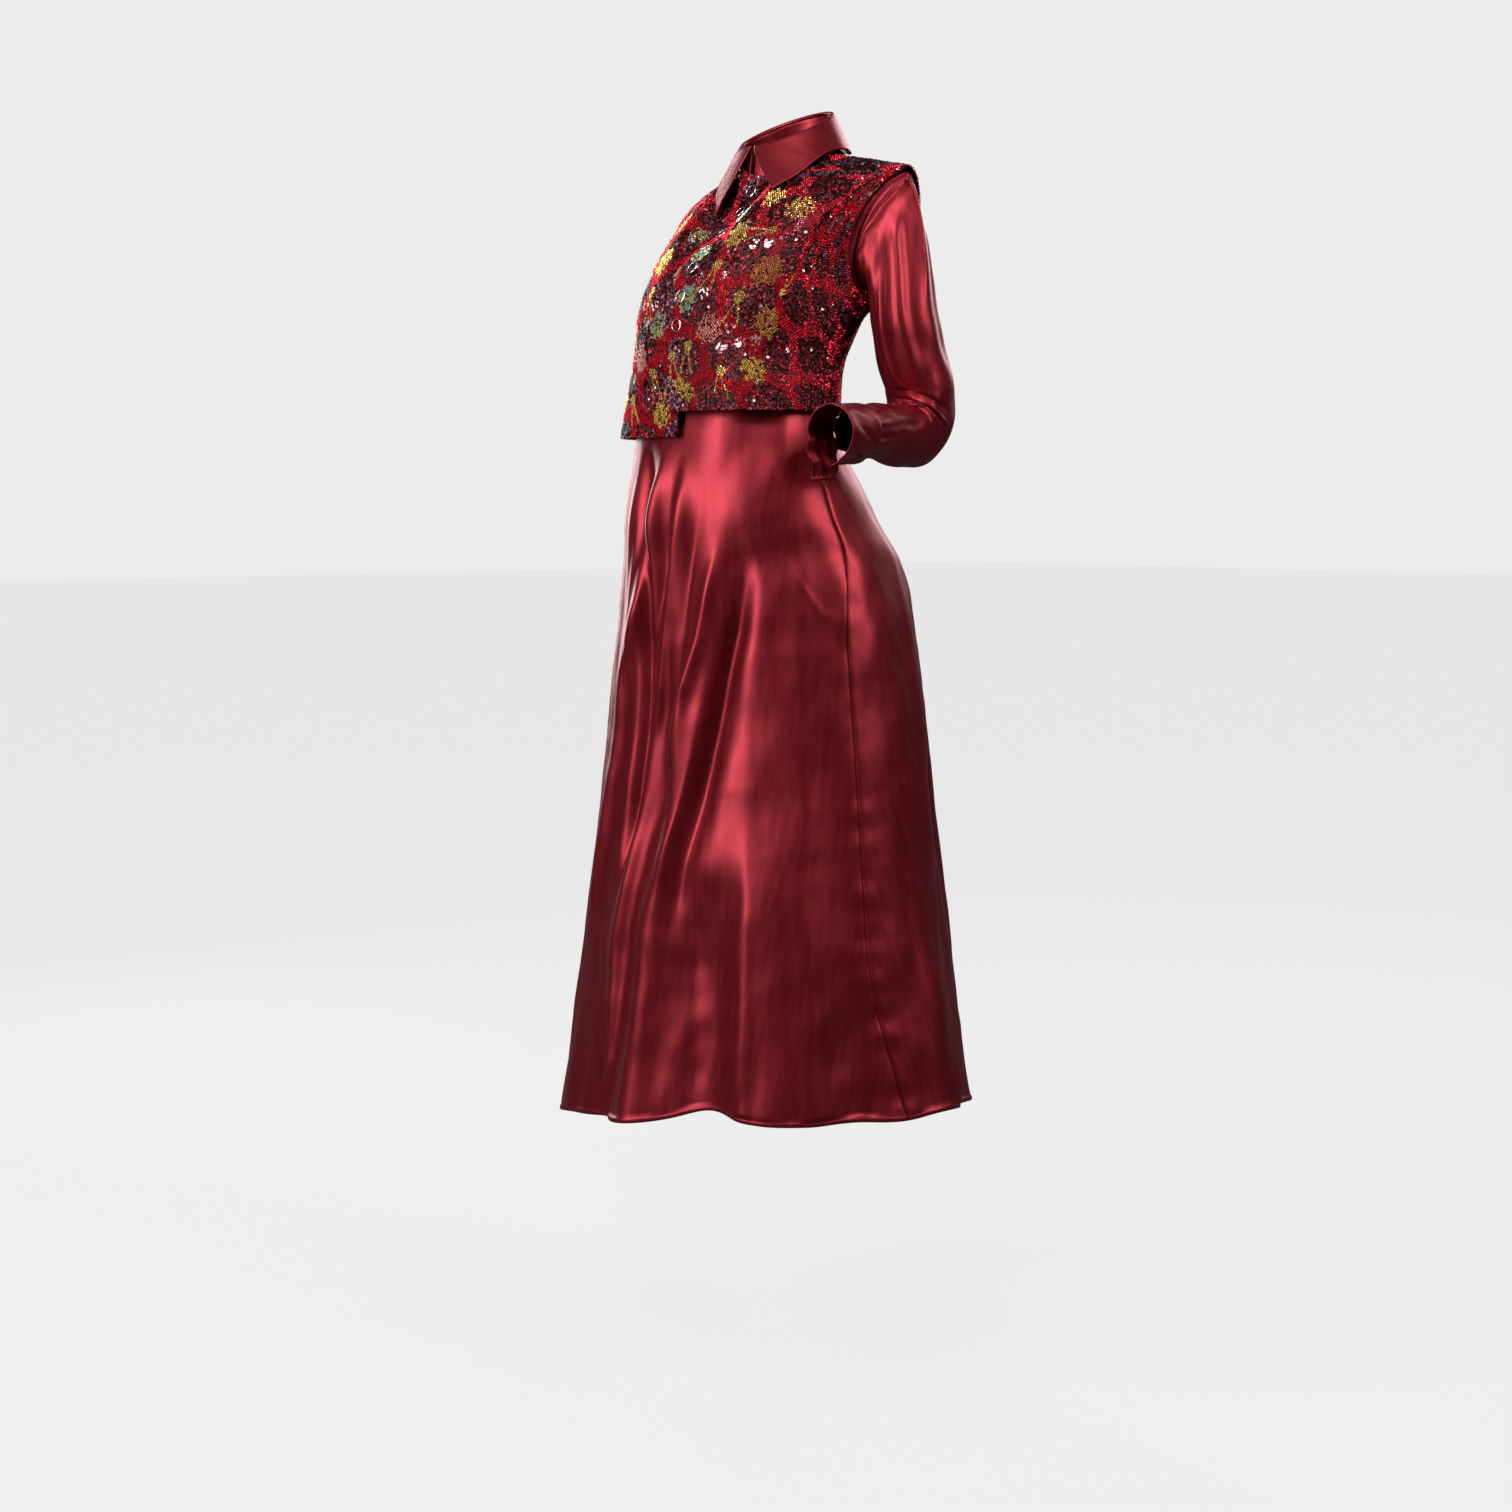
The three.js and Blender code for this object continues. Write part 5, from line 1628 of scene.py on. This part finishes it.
def camera():
    lens = bpy.data.cameras.new("camera")
    lens.lens = 58.1
    lens.sensor_width = 36
    eye = bpy.data.objects.new("camera", lens)
    eye.location = (2.207, -1.887, -0.37)
    look_at(eye, (-0.026, -0.031, -0.67))
    bpy.context.scene.collection.objects.link(eye)
    bpy.context.scene.camera = eye


def area_light(name, location, target, size, power):
    lamp = bpy.data.lights.new(name, "AREA")
    lamp.shape = "RECTANGLE"
    lamp.size, lamp.size_y = size
    lamp.energy = power
    holder = bpy.data.objects.new(name, lamp)
    holder.location = location
    look_at(holder, target)
    bpy.context.scene.collection.objects.link(holder)


REFLECTED_WALL = 0.045
REFLECTED_CEILING = 0.16
SEEN_BACKDROP = 0.84
SEEN_FLOOR = 0.79
REFLECTED_FLOOR = 0.03


def seen_or_reflected(nodes, links, seen, reflected):
    """One value where the camera looks straight at it, and another in reflections and fill light."""
    path = nodes.new("ShaderNodeLightPath")
    choice = nodes.new("ShaderNodeMapRange")
    choice.inputs["To Min"].default_value = reflected
    choice.inputs["To Max"].default_value = seen
    links.new(path.outputs["Is Camera Ray"], choice.inputs["Value"])
    return choice.outputs["Result"]


def studio_world():
    """A pale backdrop, dimmer in reflections, where only the lights and the sky above show."""
    world = bpy.data.worlds.new("studio")
    world.use_nodes = True
    nodes, links = world.node_tree.nodes, world.node_tree.links
    way = nodes.new("ShaderNodeTexCoord")
    parts = nodes.new("ShaderNodeSeparateXYZ")
    links.new(way.outputs["Generated"], parts.inputs["Vector"])
    height = nodes.new("ShaderNodeMapRange")
    height.interpolation_type = "SMOOTHSTEP"
    height.inputs["From Min"].default_value = 0.0
    height.inputs["From Max"].default_value = 0.9
    height.inputs["To Min"].default_value = REFLECTED_WALL
    height.inputs["To Max"].default_value = REFLECTED_CEILING
    links.new(parts.outputs["Z"], height.inputs["Value"])
    path = nodes.new("ShaderNodeLightPath")
    tone = nodes.new("ShaderNodeMix")
    links.new(path.outputs["Is Camera Ray"], tone.inputs["Factor"])
    links.new(height.outputs["Result"], tone.inputs["A"])
    tone.inputs["B"].default_value = SEEN_BACKDROP
    links.new(tone.outputs["Result"], nodes["Background"].inputs["Strength"])
    nodes["Background"].inputs["Color"].default_value = (1, 1, 1, 1)
    bpy.context.scene.world = world


def studio():
    studio_world()
    area_light("front window", (-0.6, -2.6, 0.3), (0, 0, -0.6), (0.8, 1.8), 52)
    area_light("overhead", (1.0, -1.7, 1.9), (0, 0, -0.1), (1.7, 1.1), 66)
    area_light("right window", (2.5, 0.6, 0.85), (0.2, 0, -0.2), (0.9, 1.0), 34)
    area_light("left window", (-2.6, 0.3, 0.2), (0, 0, -0.6), (0.5, 1.8), 26)
    area_light("back window", (-0.9, 3.0, 1.0), (0, 0, -0.5), (2.0, 1.8), 42)
    floor_sheet()


def floor_sheet():
    """A pale seamless floor, as bright as a lit paper sweep where the camera sees it."""
    size = 30.0
    floor_z = -FLOOR_HEIGHT * MM
    mesh = bpy.data.meshes.new("floor")
    mesh.from_pydata([(-size, -size, floor_z), (size, -size, floor_z), (size, size, floor_z),
                      (-size, size, floor_z)], [], [(0, 1, 2, 3)])
    floor = bpy.data.objects.new("floor", mesh)
    material, nodes, links, shader = new_material("pale floor")
    glow = seen_or_reflected(nodes, links, SEEN_FLOOR, REFLECTED_FLOOR)
    links.new(glow, shader.inputs["Emission Strength"])
    shader.inputs["Emission Color"].default_value = (1, 1, 1, 1)
    shader.inputs["Base Color"].default_value = (0.06, 0.06, 0.06, 1)
    shader.inputs["Specular IOR Level"].default_value = 0.0
    shader.inputs["Roughness"].default_value = 0.9
    mesh.materials.append(material)
    bpy.context.scene.collection.objects.link(floor)


skirt()
pocket()
bodice()
sleeve("sleeve_left", left_line, False, LEFT_SLEEVE_CREASES, 61)
sleeve("sleeve_right", right_line, True, RIGHT_SLEEVE_CREASES, 62)
cuffs()
collar()
vest()
snaps()
camera()
studio()
bpy.context.scene.view_settings.view_transform = "Standard"
